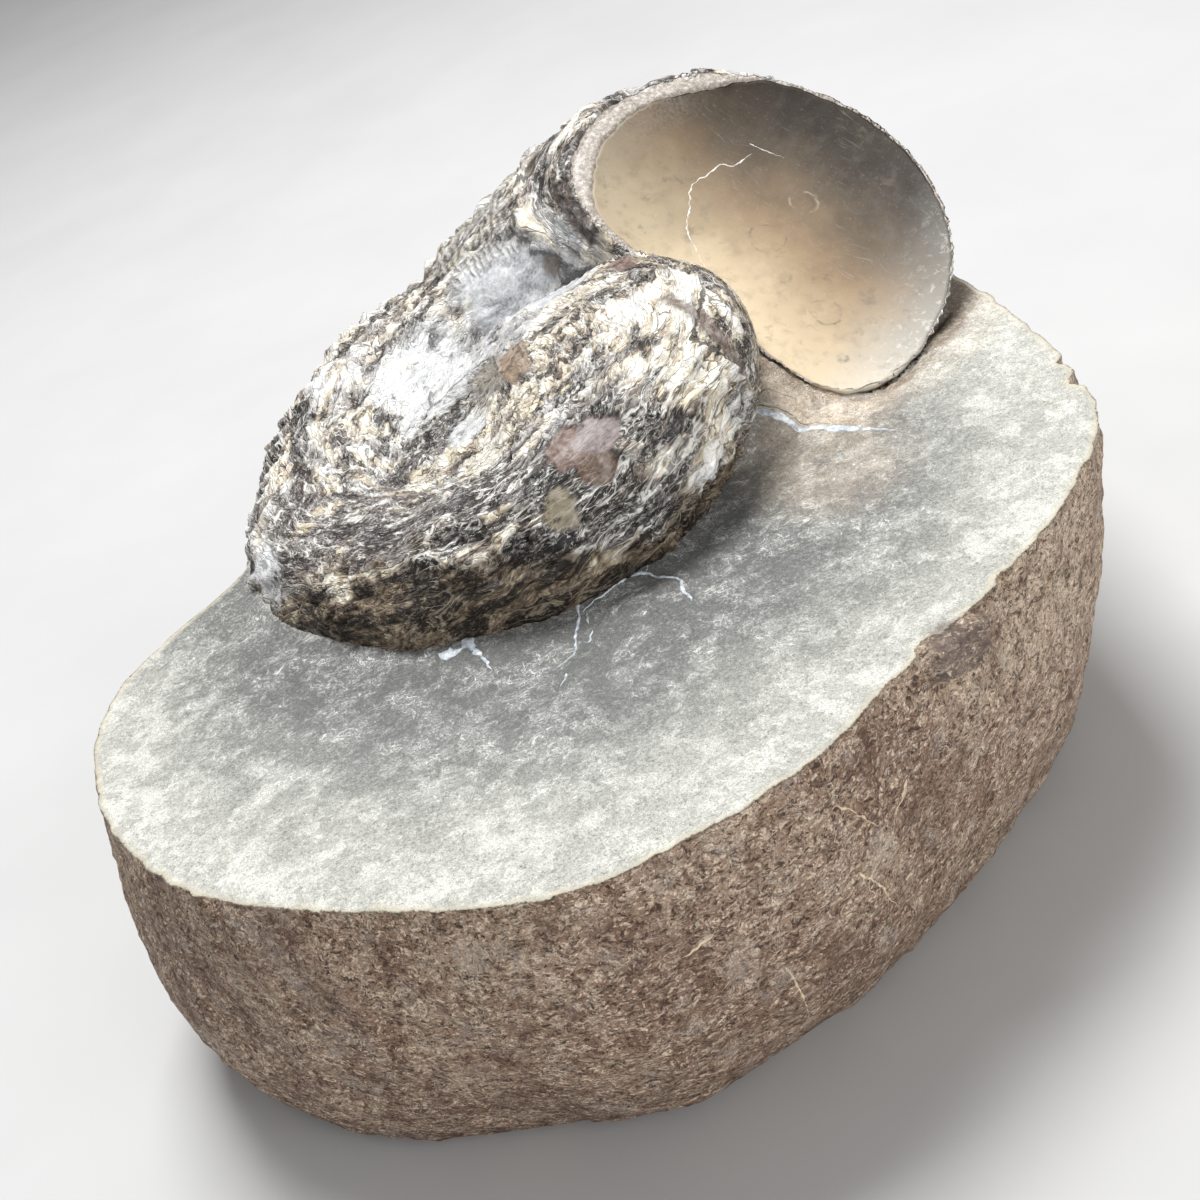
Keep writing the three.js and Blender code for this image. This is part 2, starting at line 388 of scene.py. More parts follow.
# %% The dome that fills the middle
DOME_RINGS, DOME_SIDES = 60, 120
rise = np.linspace(-np.pi / 2, np.pi / 2, DOME_RINGS)[:, None]
around = np.linspace(0, 2 * np.pi, DOME_SIDES, endpoint=False)[None, :]
level = np.cos(rise)
ball = np.stack([level * np.cos(around), level * np.sin(around), np.sin(rise) + 0 * around], -1)
flat = np.hypot(ball[..., 0], ball[..., 1])**DOME_SQUARENESS + np.abs(ball[..., 2])**DOME_SQUARENESS
ball = ball / flat[..., None]**(1 / DOME_SQUARENESS) * (DOME_RADIUS, DOME_RADIUS, DOME_HEIGHT)
dome_points = from_coil(ball.reshape(-1, 3)[DOME_SIDES:-DOME_SIDES])
dome_points = np.concatenate([dome_points, from_coil(np.array([[0, 0, -DOME_HEIGHT], [0, 0, DOME_HEIGHT]]))])
dome_faces = ring_faces(DOME_RINGS - 2, DOME_SIDES)
dome_faces += fan(0, DOME_SIDES, len(dome_points) - 2, True)
dome_faces += fan((DOME_RINGS - 3) * DOME_SIDES, DOME_SIDES, len(dome_points) - 1, False)
print("the dome has", len(dome_points), "points")

# %% Join them by voxels
joined_faces = whorl_faces + [[k + len(whorl_points) for k in face] for face in dome_faces]
draft = make_piece("coil_draft", np.concatenate([whorl_points, dome_points]), joined_faces)
skin = draft.modifiers.new("join", "REMESH")
skin.mode = "VOXEL"
skin.voxel_size = VOXEL * MM
evaluated = draft.evaluated_get(bpy.context.evaluated_depsgraph_get())
skin_mesh = bpy.data.meshes.new_from_object(evaluated)
bpy.data.objects.remove(draft)
skin_points = np.zeros(len(skin_mesh.vertices) * 3)
skin_mesh.vertices.foreach_get("co", skin_points)
skin_points = skin_points.reshape(-1, 3) / MM - FACE_PLACE
skin_edges = np.zeros(len(skin_mesh.edges) * 2, np.int32)
skin_mesh.edges.foreach_get("vertices", skin_edges)
skin_edges = skin_edges.reshape(-1, 2)
skin_faces = face_arrays(skin_mesh)
print("the joined coil has", len(skin_points), "points and", len(skin_faces), "triangles")

# %% [markdown]
# ## The shell's surface
#
# The skin is first relaxed over the dome, where the worn inner whorls run into each other. Then every
# point is moved along the surface's normal by a relief made of several layers: ribs across the whorl,
# a raised collar behind the mouth, torn layers of shell that end in small steps, pits, and fibres. The
# noise is read in the coil's own coordinates, along the spiral and across it, so that the flakes are
# drawn out along the whorl as shell layers are.

# %% Coil coordinates of the skin
skin_reach = np.hypot(*into_coil(skin_points)[:, :2].T)
over_dome = ease(skin_reach, 27, 20)
skin_points = relax(skin_points, skin_edges, 12, 0.10 + 0.5 * over_dome)
normals = point_normals(skin_points, skin_faces)
back, depth_part, section_turn, coil_reach = coil_place(skin_points)
local = into_coil(skin_points)
azimuth = np.degrees(np.arctan2(local[:, 1], local[:, 0]))
spiral_rate = math.log(GROWTH) / (2 * math.pi)
along = MOUTH_RADIUS / spiral_rate * (1 - GROWTH ** (-back / 360))
grain = np.stack([along, coil_reach - outer_radius(back), local[:, 2]], 1)
past_mouth = in_mouth_frame(skin_points)
on_cut = (np.abs(past_mouth[:, 2] - 0.7) < 1.3) & (back < 60) & (normals @ mouth_normal > 0.85)
print("points on the cut face:", int(on_cut.sum()))

# %% Distances to lines and outlines
def path_distance(points, path):
    """The distance from each point to the nearest part of an open path."""
    nearest = np.full(len(points), 1e9)
    for start, end in zip(path[:-1], path[1:]):
        step = np.subtract(end, start)
        share = np.clip((points - start) @ step / (step @ step), 0, 1)
        nearest = np.minimum(nearest, np.linalg.norm(points - start - share[:, None] * step, axis=1))
    return nearest


def smooth_path(corners, step, closed=False):
    """Evenly spaced points along a Catmull-Rom curve through the corners."""
    corners = np.asarray(corners, float)
    count = len(corners)
    if closed:
        order = [np.arange(count) + k for k in (-1, 0, 1, 2)]
        before, here, after, later = (corners[k % count] for k in order)
    else:
        padded = np.concatenate([[2 * corners[0] - corners[1]], corners, [2 * corners[-1] - corners[-2]]])
        before, here, after, later = padded[:-3], padded[1:-2], padded[2:-1], padded[3:]
    part = np.linspace(0, 1, 30, endpoint=False)[None, :, None]
    before, here, after, later = (corner[:, None, :] for corner in (before, here, after, later))
    path = 0.5 * (2 * here + (after - before) * part
                  + (2 * before - 5 * here + 4 * after - later) * part**2
                  + (3 * here - before - 3 * after + later) * part**3)
    path = path.reshape(-1, corners.shape[1])
    path = np.concatenate([path, path[:1] if closed else corners[-1:]])
    length = np.concatenate([[0], np.cumsum(np.linalg.norm(np.diff(path, axis=0), axis=1))])
    wanted = np.linspace(0, length[-1], max(round(length[-1] / step), 2) + 1)
    if closed:
        wanted = wanted[:-1]
    return np.stack([np.interp(wanted, length, path[:, axis]) for axis in range(path.shape[1])], 1)


def inside_distance(points, outline):
    """For flat points, the distance to a closed outline, positive inside it."""
    ends = np.roll(outline, -1, 0)
    crossings = np.zeros(len(points), int)
    for start, end in zip(outline, ends):
        above = (start[1] > points[:, 1]) != (end[1] > points[:, 1])
        rise = end[1] - start[1] if abs(end[1] - start[1]) > 1e-12 else 1e-12
        crossing = start[0] + (points[:, 1] - start[1]) * (end[0] - start[0]) / rise
        crossings += above & (points[:, 0] < crossing)
    distance = path_distance(points, np.concatenate([outline, outline[:1]]))
    return np.where(crossings % 2 == 1, distance, -distance)


square = np.array([(0, 0), (10, 0), (10, 10), (0, 10)], float)
print("inside a 10 mm square, 4 mm from its edge:", inside_distance(np.array([[4.0, 5.0]]), square))

# %% [markdown]
# ## The lip round the mouth
#
# The shell shows as a lip round the cut: thin over the top and along the right side, where its edge is
# worn into small teeth, and thick and pearly on the left. Its inner edge is the outline of the sediment
# that filled the chamber, which is ground hollow like a shallow dish.

# %% The outline of the sediment
THIN_LIP, THICK_LIP = 0.75, 2.8
LIP_THINS, LIP_THICKENS = -14, -25
DISH_DEPTH, DISH_REACH = 2.9, 17.0
cut_rim = in_mouth_frame(coil_point(first_back, turns))[:, :2]
cut_rim = smooth_path(cut_rim[::3], 0.6, closed=True)
rim_step = np.roll(cut_rim, -1, 0) - np.roll(cut_rim, 1, 0)
rim_inward = np.stack([-rim_step[:, 1], rim_step[:, 0]], 1)
rim_inward /= np.linalg.norm(rim_step, axis=1, keepdims=True)
rim_inward *= np.sign(((cut_rim.mean(0) - cut_rim) * rim_inward).sum(1).mean())
thick = ease(cut_rim[:, 0], LIP_THINS, LIP_THICKENS)
rim_noise = fractal(np.c_[cut_rim / 4, np.zeros(len(cut_rim))], 3, 111)
lip_width = THIN_LIP + (THICK_LIP - THIN_LIP) * thick
calm_rim = cut_rim + rim_inward * lip_width[:, None]
sediment_rim = calm_rim + rim_inward * (rim_noise * (0.22 + 0.2 * thick))[:, None]
print("the cut is", np.ptp(cut_rim, 0).round(1), "mm, the sediment", np.ptp(sediment_rim, 0).round(1))


def dish(flat):
    """How far the sediment's ground face lies below the cut, at places in the cut's plane."""
    lip = THIN_LIP + (THICK_LIP - THIN_LIP) * ease(flat[:, 0], LIP_THINS, LIP_THICKENS)
    part = np.clip((inside_distance(flat, cut_rim) - lip) / DISH_REACH, 0, 1)
    return -0.25 - DISH_DEPTH * (1 - (1 - part)**2.2)


# %% The layers of relief
venter = ease(np.cos(section_turn), -0.25, 0.7)
sway = fractal(skin_points / 9, 2, 21)
behind_mouth = -past_mouth[:, 2]
near_mouth = ease(back, 75, 60) * (behind_mouth > -2)
mouth_turn = np.arctan2(past_mouth[:, 1], past_mouth[:, 0])

RIB_STEP = 5.2
rib_wave = np.cos(2 * np.pi * (back + 1.1 * sway) / RIB_STEP)
ribbed = 0.12 + 0.88 * ease(azimuth, 30, 50) * ease(azimuth, 178, 160)
ribs = 0.72 * power(rib_wave, 0.8) * venter * ribbed * (0.75 + 0.5 * noise(grain / 11, 22))
collar_edge = 7.0 + 2.4 * fractal(np.stack([mouth_turn * 6, 0 * sway, 0 * sway], 1), 3, 23)
in_collar = ease(behind_mouth, collar_edge + 0.5, collar_edge - 0.5) * near_mouth
collar = 0.9 * in_collar
lip_bevel = -0.5 * ease(behind_mouth, 1.2, 0) * near_mouth

wander = [0 * sway, 0.6 * fractal(skin_points / 8, 2, 24), 0.6 * fractal(skin_points / 8, 2, 27)]
round_mouth = np.stack([mouth_turn * 26, behind_mouth, 0 * sway], 1)
lie = np.where(in_collar[:, None] > 0.5, round_mouth, grain) + np.stack(wander, 1)
strips = 1 - 2 * np.abs(noise(lie / (17.0, 3.6, 3.6), 28))
sheet_field = 3.4 * fractal(lie / (16.0, 4.6, 4.6), 2, 31)
sheet_part = sheet_field - np.floor(sheet_field)
sheets = 0.55 * sheet_part
frayed = 0.25 * fractal(skin_points / 2.4, 2, 34)[:, None]
near, second, tile_number = cells(lie / (8.0, 2.8, 2.8) + frayed, 61)
tiles = 0.46 * (tile_number - 0.5)
tile_edge = ease(second - near, 0.16, 0.02)
near, second, flake_number = cells(lie / (4.0, 1.7, 1.7) + frayed, 63)
flakelets = 0.10 * (flake_number - 0.5)
flakelet_edge = ease(second - near, 0.20, 0.03)
lumps = 0.50 * fractal(skin_points / 14, 2, 51)
near, second, number = cells(lie / (4.6, 2.4, 2.4), 66)
pits = -0.55 * ease(near, 0.36, 0.16) * (number < 0.15)
busy = 0.45 + 0.75 * ease(fractal(skin_points / 12, 2, 41), -0.3, 0.4)
print("ribs near the mouth are", round(outer_radius(0) * math.radians(RIB_STEP), 1), "mm apart")

# %% [markdown]
# ## Where the shell differs from place to place
#
# The surface isn't equally worn. Smooth, grey mother-of-pearl shows on the wall beside the mouth, the
# valley between the whorls is bleached, and below a ledge the near side is dark and brown, partly its own
# colour and partly painted shade where it faces the near side. A clean line of shell and a deep crease
# run over the crest; the crease is dented, and its darkness is painted shade. Through a few small
# windows the stone of the chambers shows, brown, mauve or amber. Painting by hand would tie all this to
# one mesh, so each place is given as a short line or as an ellipsoid with an uneven edge, and everything
# between them comes from noise.

# %% The pearly wall, the valley and the ledge
def patch(centre, size, soft=0.35):
    """1 inside an ellipsoid, 0 outside, with an uneven edge."""
    reach = np.linalg.norm((skin_points - centre) / size, axis=1) + 0.22 * uneven
    return ease(reach, 1 + soft / 2, 1 - soft / 2)


uneven = fractal(skin_points / 2.6, 3, 121)
left_lobe = past_mouth[:, 0] < LIP_THINS
wall_place = ease(azimuth, 36, 48) * ease(azimuth, 98, 86) * ease(coil_reach, 34, 29)
wall_smooth = wall_place * ease(local[:, 2], 5, 8) * (depth_part < 1.3) * (1 - 0.75 * in_collar)
valley = ease(azimuth, 92, 106) * ease(azimuth, 142, 126) * ease(np.abs(coil_reach - 25), 6.5, 2)
ledge_line = smooth_path([
    (-46, 41, 0), (-37.5, 25, 6.6), (-30.5, 18, 8.2), (-22.5, 10.5, 10.5), (-15.5, 5, 10.4),
    (-9.5, 1.7, 10.2), (-3, 0.3, 9.3), (5, 0.2, 6.5), (14, 3, 7.5), (24, 10, 8)], 1)
ledge_gap = path_distance(skin_points, ledge_line) + 0.3 * uneven
below_ledge = np.interp(skin_points[:, 0], ledge_line[:, 0], ledge_line[:, 2]) - skin_points[:, 2]
behind_ledge = skin_points[:, 1] - np.interp(skin_points[:, 0], ledge_line[:, 0], ledge_line[:, 1])
# Painted shade on the low side: below the ledge, where the shell faces the near side, it is darkened partly
# for its own dark, brown colour and partly as shade.
shaded_low_side = ease(below_ledge + 1.8 * uneven, -1.2, 2.6) * ease(behind_ledge, 5, 2)
shaded_low_side *= ease(normals[:, 1], 0.35, 0.0)
print("shares: wall", wall_smooth.mean().round(3), "valley", valley.mean().round(3), "low side",
      shaded_low_side.mean().round(3))

# %% Lines over the crest
crest = patch((17, 38, 19), (15, 15, 6)) + patch((-2, 27, 13), (13, 7, 6)) + patch((23, 22, 17), (9, 8, 6))
crest_line = smooth_path([(2, 40, 17.5), (4.9, 45, 18.3), (10.5, 49, 19.3), (16.5, 47, 20), (22, 41, 21.6),
                          (25.8, 32.3, 22.4), (29, 25, 19), (30, 22.5, 16.8)], 1)
crest_gap = path_distance(skin_points, crest_line) + 0.35 * uneven
clean_line = ease(crest_gap, 1.5, 0.6)
brown_line = smooth_path([(22.6, 27.5, 22.3), (25.0, 23.0, 21.2), (27.0, 19.2, 19.2), (28.0, 17.0, 16.2),
                          (28.2, 16.0, 13.5)], 1)
brown_gap = path_distance(skin_points, brown_line) + 0.35 * uneven
brown_band = ease(brown_gap, 1.5, 0.9)
# The crease: a dent, and a dark line painted as the shade in the crease behind the lump's edge.
crease_line = smooth_path([(-4, 53.5, 14.6), (0.3, 51.4, 16.7), (3, 50.4, 17.7), (6.5, 50.3, 18.4),
                           (9.5, 50.9, 18.7), (13, 49.9, 19.5)], 1)
crease_and_painted_shade = ease(path_distance(skin_points, crease_line) + 0.2 * uneven, 0.9, 0.35)
spiral_line = smooth_path(from_coil(np.array([
    (reach * math.cos(math.radians(az)), reach * math.sin(math.radians(az)), height)
    for az, reach, height in ((-141, 19, 9.3), (-120, 20.5, 9.6), (-98, 22, 9.9), (-76, 24, 10.4))])), 1)
spiral_gap = path_distance(skin_points, spiral_line) + 0.3 * uneven
print("the clean line has", int((clean_line > 0.5).sum()), "points, the crease", int((crease_and_painted_shade > 0.5).sum()))

# %% Windows where the chambers' stone shows
crystal_line = ease(behind_mouth, 0.2, 0.7) * ease(behind_mouth, 3.4, 2.4) * left_lobe * (back < 70)
crystal_line *= ease(skin_points[:, 2] + uneven, 31.0, 29.0) * ease(uneven + 0.35 * sway, -0.45, -0.15)
windows = {
    "red brown": patch((3.2, 7.9, 17.4), (3.2, 3.6, 3.4), 0.15),
    "brown": patch((5.6, 4.4, 14.9), (3.4, 2.2, 2.4), 0.15),
    "mauve": patch((7.4, 7.9, 17.7), (3.3, 2.9, 2.9), 0.15),
    "amber oval": patch((-0.4, 1.9, 13.1), (2.3, 2.5, 3.2), 0.2),
    "hub stone": patch((-2.0, 40.4, 16.8), (4.2, 4.6, 4.0), 0.8),
    "purple sheet": patch((-17.5, 25.0, 13.0), (3.6, 2.4, 3.0), 0.2),
    "amber wedge": patch((1.2, 39.0, 17.8), (2.4, 6.0, 4.0), 0.2),
    "brown facet": patch((11.5, 62.0, 19.6), (2.0, 2.6, 2.0)),
    "brown sheet": brown_band,
    "red crystals": patch((20.5, 49.5, 21.0), (2.2, 5.0, 2.4), 0.2),
    "crystal line": crystal_line,
}
print("windows:", ", ".join(windows))

# %% Cream, dark, frosted and plain patches
cream_spots = [
    ((20, 11.5, 16.5), (4.5, 3.5, 4)), ((19, 16.5, 20), (5.5, 3, 3)), ((-17, 30, 10), (4, 2.5, 3)),
    ((-33, 32.5, 10.5), (5, 2, 3)), ((-30, 15, 6.5), (2, 3, 2.6)), ((-22, 6.8, 6.5), (3.5, 2, 1.6)),
    ((-5.5, 0.5, 7.6), (3, 2, 1.6)), ((-14, 3.4, 6.0), (3.4, 2, 1.5)),
    ((-17.5, 21, 13), (3.4, 1.7, 2.4)), ((3, -0.4, 5.4), (3, 2, 1.5)), ((-40, 24, 2.5), (4, 4, 2)),
    ((22, 10, 12), (1.5, 2.5, 4)), ((-8, 22, 14), (6, 3, 3)),
]
dark_spots = [
    ((12.8, 7.2, 17.0), (2.4, 2.2, 2.2)), ((9.5, 11, 20), (3, 1.4, 2)), ((3, 1, 11), (6, 3, 3.5)),
    ((-14, 7, 12.5), (9, 3.2, 2.2)), ((-8, 9.5, 14.5), (6, 3, 3)), ((0, 4, 14.8), (4, 3.5, 2.6)),
    ((-4, 0.5, 9.5), (5, 2, 2.5)), ((-40, 27, 6), (4, 4, 3)), ((9, 2, 8), (8, 3.5, 4)),
    ((16, 62, 25), (2.5, 4, 5)),
]
frost_spots = [
    ((-10, 51, 13), (9, 11, 6)), ((-8.5, 32, 15), (3.5, 3.5, 3)), ((-42, 32, 4), (5, 8, 3)),
    ((18, 32, 21.5), (4, 4, 3)),
]
plain_spots = [((-32, 28, 9.5), (9, 9, 5)), ((-21, 17.5, 12), (9, 6.5, 4)), ((-8, 11, 15), (8, 3.5, 3)),
               ((-35, 39, 9), (5, 6, 4)), ((-16, 34, 11), (6, 5, 4))]


def spots(places, soft=0.6):
    """1 inside any of the ellipsoids."""
    return np.max([patch(np.array(centre), np.array(size), soft) for centre, size in places], axis=0)


cream, dark, plain = spots(cream_spots), spots(dark_spots), spots(plain_spots)
valley = np.maximum(valley, 0.9 * spots(frost_spots))
beside_lip = windows["crystal line"]


def swell(centre, size, height):
    """A broad rise or hollow with no edge."""
    return height * np.exp(-(((skin_points - centre) / size)**2).sum(1))


settled = swell((-8, 87, 20), (13, 12, 12), -3.0) + swell((25, 80, 34), (7, 7, 7), 1.0)
facet = np.maximum.reduce([windows[name] for name in ("mauve", "red brown", "brown", "amber oval")])
smooth = np.clip(wall_smooth + facet, 0, 1)
print("smooth share of the skin:", smooth.mean().round(3))

# %% Move the skin by the relief
edge_calm = np.where((back < 70) & ~left_lobe, 0.2 + 0.8 * ease(behind_mouth, 1.0, 9.0), 1)
bleached = np.clip(smooth + 0.6 * valley, 0, 1)
worn = (strips * 0.32 + sheets + tiles + flakelets + pits) * (1 - 0.85 * bleached) * (1 - 0.6 * plain) * busy
worn *= edge_calm
relief = ribs * (1 - 0.6 * smooth) + (collar + lip_bevel) * (0.35 + 0.65 * left_lobe) + worn
relief += lumps * edge_calm + settled - 0.2
relief += 0.5 * clean_line + 0.4 * ease(spiral_gap, 1.2, 0.3) + 0.55 * ease(ledge_gap, 1.4, 0.2)
relief -= 0.5 * beside_lip + 0.45 * crease_and_painted_shade
relief = np.where(on_cut, 0, relief)

into_sediment = inside_distance(past_mouth[on_cut][:, :2], sediment_rim)
sunk = (dish(past_mouth[on_cut][:, :2]) - 0.5) * ease(into_sediment, -0.25, 0.35)
relief[on_cut] = sunk + 0.04 * fractal(skin_points[on_cut] / 1.5, 2, 131)
moved = np.where(on_cut[:, None], mouth_normal, normals)
shell_points = skin_points + moved * relief[:, None]
print("relief from", relief.min().round(2), "to", relief.max().round(2), "mm")

# %% The shell piece
shell = make_piece("fossil_shell", shell_points, skin_faces.tolist())
tone = 0.05 * crest.clip(0, 1) + 0.24 * valley + 0.30 * clean_line + 0.2 * ease(spiral_gap, 1.4, 0.4)
# Painted shade lowers the tone on the low side and in the crease; the cream, dark, plain and crystal patches
# are the shell's own colour.
tone += 0.21 * cream - 0.48 * dark - 0.14 * plain - 0.50 * shaded_low_side - 0.30 * beside_lip - 0.6 * crease_and_painted_shade
tone += (0.06 + 0.2 * (skin_points[:, 0] < -28)) * ease(ledge_gap, 0.9, 0.3)
tone += 0.14 * ribs + 0.24 * worn + 0.3 * cream * shaded_low_side
edges = np.maximum(tile_edge * (tile_number > 0.45), 0.7 * flakelet_edge * (flake_number > 0.6))
fine_ribs = ease(azimuth, 64, 69) * ease(azimuth, 97, 90)
fine_ribs *= ease(local[:, 2], 12, 14) * ease(local[:, 2], 24, 20)
fine_ribs *= ease(uneven, -0.5, 0.2) * (back < 100)
WINDOW_PAINT = {
    "brown sheet": ((0.115, 0.078, 0.062), 0.85),
    "red brown": ((0.12, 0.058, 0.040), 0.92),
    "brown": ((0.085, 0.042, 0.020), 0.92),
    "mauve": ((0.185, 0.145, 0.140), 0.94),
    "hub stone": ((0.30, 0.27, 0.22), 0.8),
    "purple sheet": ((0.105, 0.080, 0.078), 0.6),
    "amber oval": ((0.22, 0.185, 0.115), 0.85),
    "amber wedge": ((0.22, 0.135, 0.070), 0.85),
    "brown facet": ((0.15, 0.10, 0.07), 0.75),
    "red crystals": ((0.13, 0.065, 0.045), 0.8),
    "crystal line": ((0.040, 0.028, 0.024), 0.85),
}
window_colour = np.zeros((len(skin_points), 3))
window_share = np.zeros(len(skin_points))
for name, (colour, share) in WINDOW_PAINT.items():
    here = windows[name][:, None]
    window_colour = window_colour * (1 - here) + np.array(colour) * here
    window_share = np.maximum(window_share, windows[name] * share)
set_vectors(shell, "grain", lie)
set_vectors(shell, "window_colour", window_colour)
STORED = {
    "fine_ribs": fine_ribs,
    "flake_edges": edges * (1 - bleached) * (1 - 0.6 * plain),
    "tone": tone,
    "cream": (cream + crest * 0.5 - 0.5 * valley).clip(-1, 1),
    "frost": (valley + 0.5 * wall_place + 0.35 * clean_line).clip(0, 1),
    "brown": (shaded_low_side + beside_lip + 0.8 * crease_and_painted_shade).clip(0, 1),
    "pearl": wall_smooth,
    "plain": plain * (1 - cream) * (1 - valley.clip(0, 1)),
    "window_share": window_share,
    "lip": np.where(on_cut, 1.0, 0.0),
}
for name, values in STORED.items():
    set_values(shell, name, values)
print("the shell has", len(skin_faces), "triangles")

# %% [markdown]
# ## The sediment in the mouth
#
# The living chamber filled with mud, which is now a smooth, warm-coloured stone. It is a piece of its
# own: a shallow bowl of rings that starts at the outline of the lip, with an underside that is sunk in
# the shell so that the piece is closed.

# %% Rings of the filling
FILLING_RINGS = 60
count = len(sediment_rim)
filling_hub = sediment_rim.mean(0)
filling_flat = [filling_hub + (calm_rim - filling_hub) * share + (sediment_rim - calm_rim) * share**8
                for share in np.linspace(1, 0.02, FILLING_RINGS)]
filling_flat = np.concatenate(filling_flat + [[filling_hub]])
filling_top = np.c_[filling_flat, dish(filling_flat)]
filling_edges = []
for ring in range(FILLING_RINGS - 1):
    step = ring * count + np.arange(count)
    after = ring * count + (np.arange(count) + 1) % count
    filling_edges += [np.stack([step, step + count], 1), np.stack([step, after], 1)]
hub_number = FILLING_RINGS * count
filling_edges.append(np.stack([np.full(count, hub_number), hub_number - count + np.arange(count)], 1))
calm = 0.5 * ease(inside_distance(filling_flat, sediment_rim), 0.6, 4)
filling_top = relax(filling_top, np.concatenate(filling_edges), 60, calm)
filling_top[:, 2] += 0.03 * fractal(filling_top / 3, 3, 141)
mouth_axes = np.stack([mouth_along, mouth_across, mouth_normal])
top_side = mouth_centre + filling_top @ mouth_axes
under_ring = sediment_rim - rim_inward * 0.1
under_side = mouth_centre + np.c_[under_ring, np.full(len(under_ring), -1.4)] @ mouth_axes
under_deep = filling_hub + (sediment_rim - filling_hub) * 0.6
under_side = np.concatenate([under_side, mouth_centre + np.c_[
    under_deep, np.full(len(under_ring), -DISH_DEPTH - 1.6)] @ mouth_axes])
filling_points = np.concatenate([under_side[len(under_ring):], under_side[:len(under_ring)], top_side])
under_hub = mouth_centre + np.array([*filling_hub, -DISH_DEPTH - 1.6]) @ mouth_axes
filling_points = np.concatenate([filling_points, [under_hub]])
filling_faces = ring_faces(FILLING_RINGS + 2, count)
filling_faces += fan((FILLING_RINGS + 1) * count, count, len(filling_points) - 2, False)
filling_faces += fan(0, count, len(filling_points) - 1, True)
filling = make_piece("mouth_filling", filling_points, filling_faces)
set_vectors(filling, "mouth_place", in_mouth_frame(filling_points))
print("the filling has", len(filling_points), "points")

# %% [markdown]
# ## The nodule
#
# The stone is a closed stack of rings. The rim of its ground face is a smooth closed curve through a
# few points; the side below follows a rounded profile that differs from side to side, and the bottom
# is flat. Rings give even quads all over, and a few chips are bitten out of the rim.

# %% The rim of the ground face
STONE_DEPTH = 48.0
PROFILE_DEPTH = 75.3
PROFILE_CENTRE = np.array([7.5, 20.0])
SIDES = {
    "left": (4.6, 0.076),
    "right": (2.2, -0.048),
    "near": (2.0, 0.037),
    "far": (2.6, 0.02),
}
WIDEST_PART = 0.45
EDGE_ROUNDING, EDGE_TUCK = 4.0, 0.05
RIM = np.array([
    (-68.4, 8.6), (-66.4, 23.6), (-58.6, 33.4), (-47.8, 43.3), (-41.5, 56), (-33.5, 70),
    (-19.5, 83.5), (-2, 91.5), (18, 93.5), (38, 87), (54, 75), (63.5, 60), (67, 45), (68.2, 29),
    (68.3, 14), (65.2, -4.2), (55, -17.6), (43, -27.6), (27, -37.5), (14, -46), (-2, -50.4),
    (-15, -51), (-32, -43.6), (-52.6, -29), (-64.1, -11),
], float)
HUB = np.array([2.0, 36.0])
rim = smooth_path(RIM, 0.74, closed=True)
RIM_COUNT = len(rim)
print("the rim has", RIM_COUNT, "points")


# %% The side profile
def side_reach(direction, depth):
    """How far the side stands out at a depth, as a fraction of the rim's reach."""
    x, y = direction[:, 0], direction[:, 1]
    shares = {"left": np.maximum(-x, 0)**2, "right": np.maximum(x, 0)**2,
              "near": np.maximum(-y, 0)**2, "far": np.maximum(y, 0)**2}
    part = depth / PROFILE_DEPTH
    wave = math.sin(math.pi * min(part / (2 * WIDEST_PART), 1))
    reach = sum(shares[side] * (1 - part**square)**(1 / square) * (1 + bulge * wave)
                for side, (square, bulge) in SIDES.items())
    tuck = max(0, (depth - STONE_DEPTH + EDGE_ROUNDING) / EDGE_ROUNDING)
    return reach * (1 - EDGE_TUCK * (1 - math.sqrt(1 - min(tuck, 1)**2)))


left = np.array([[-1.0, 0.0]])
print("the left side's reach half-way down:", side_reach(left, STONE_DEPTH / 2).round(3))

# %% Rings over the face, down the side and under the base
FACE_RINGS = 84
SIDE_RINGS = 58
BASE_RINGS = 8
arms = rim - PROFILE_CENTRE
directions = arms / np.linalg.norm(arms, axis=1, keepdims=True)
ragged = 0.32 * fractal(np.c_[rim / 3.6, np.full(RIM_COUNT, 3.1)], 3, 81)
rim_chips = (
    (67.5, 13.0, 1.6, 0.9), (67.8, 7.2, 2.2, 1.1), (65.8, 3.4, 1.4, 0.7),
    (31.6, -34.9, 2.6, 1.3), (25.6, -38.6, 1.6, 0.4), (43.2, -27.8, 1.8, 0.6),
)
for x, y, size, bite in rim_chips:
    ragged -= bite * ease(np.hypot(rim[:, 0] - x, rim[:, 1] - y), size, size * 0.4)
rim_out = rim + directions * ragged[:, None]

rings, edge_distance = [], []
for share in np.linspace(0.02, 1, FACE_RINGS) ** 0.8:
    ring = HUB + (rim_out - HUB) * share
    rings.append(np.c_[ring, np.zeros(RIM_COUNT)])
    edge_distance.append(np.full(RIM_COUNT, 1.0 if share < 1 else 0.0))
bend = np.linspace(0.3, np.pi / 2, 5)
depths = np.concatenate([[0.3, 0.8], np.linspace(1.5, STONE_DEPTH - EDGE_ROUNDING, SIDE_RINGS),
                         STONE_DEPTH - EDGE_ROUNDING * (1 - np.sin(bend))])
for depth in depths:
    ring = PROFILE_CENTRE + arms * side_reach(directions, depth)[:, None]
    ring = ring + directions * (ragged * math.exp(-depth / 3))[:, None]
    rings.append(np.c_[ring, np.full(RIM_COUNT, -depth)])
    edge_distance.append(np.full(RIM_COUNT, -depth))
base_ring = rings[-1][:, :2]
for share in np.linspace(1, 0.03, BASE_RINGS + 1)[1:]:
    ring = PROFILE_CENTRE + (base_ring - PROFILE_CENTRE) * share
    rings.append(np.c_[ring, np.full(RIM_COUNT, -STONE_DEPTH)])
    edge_distance.append(np.full(RIM_COUNT, -STONE_DEPTH - 5))
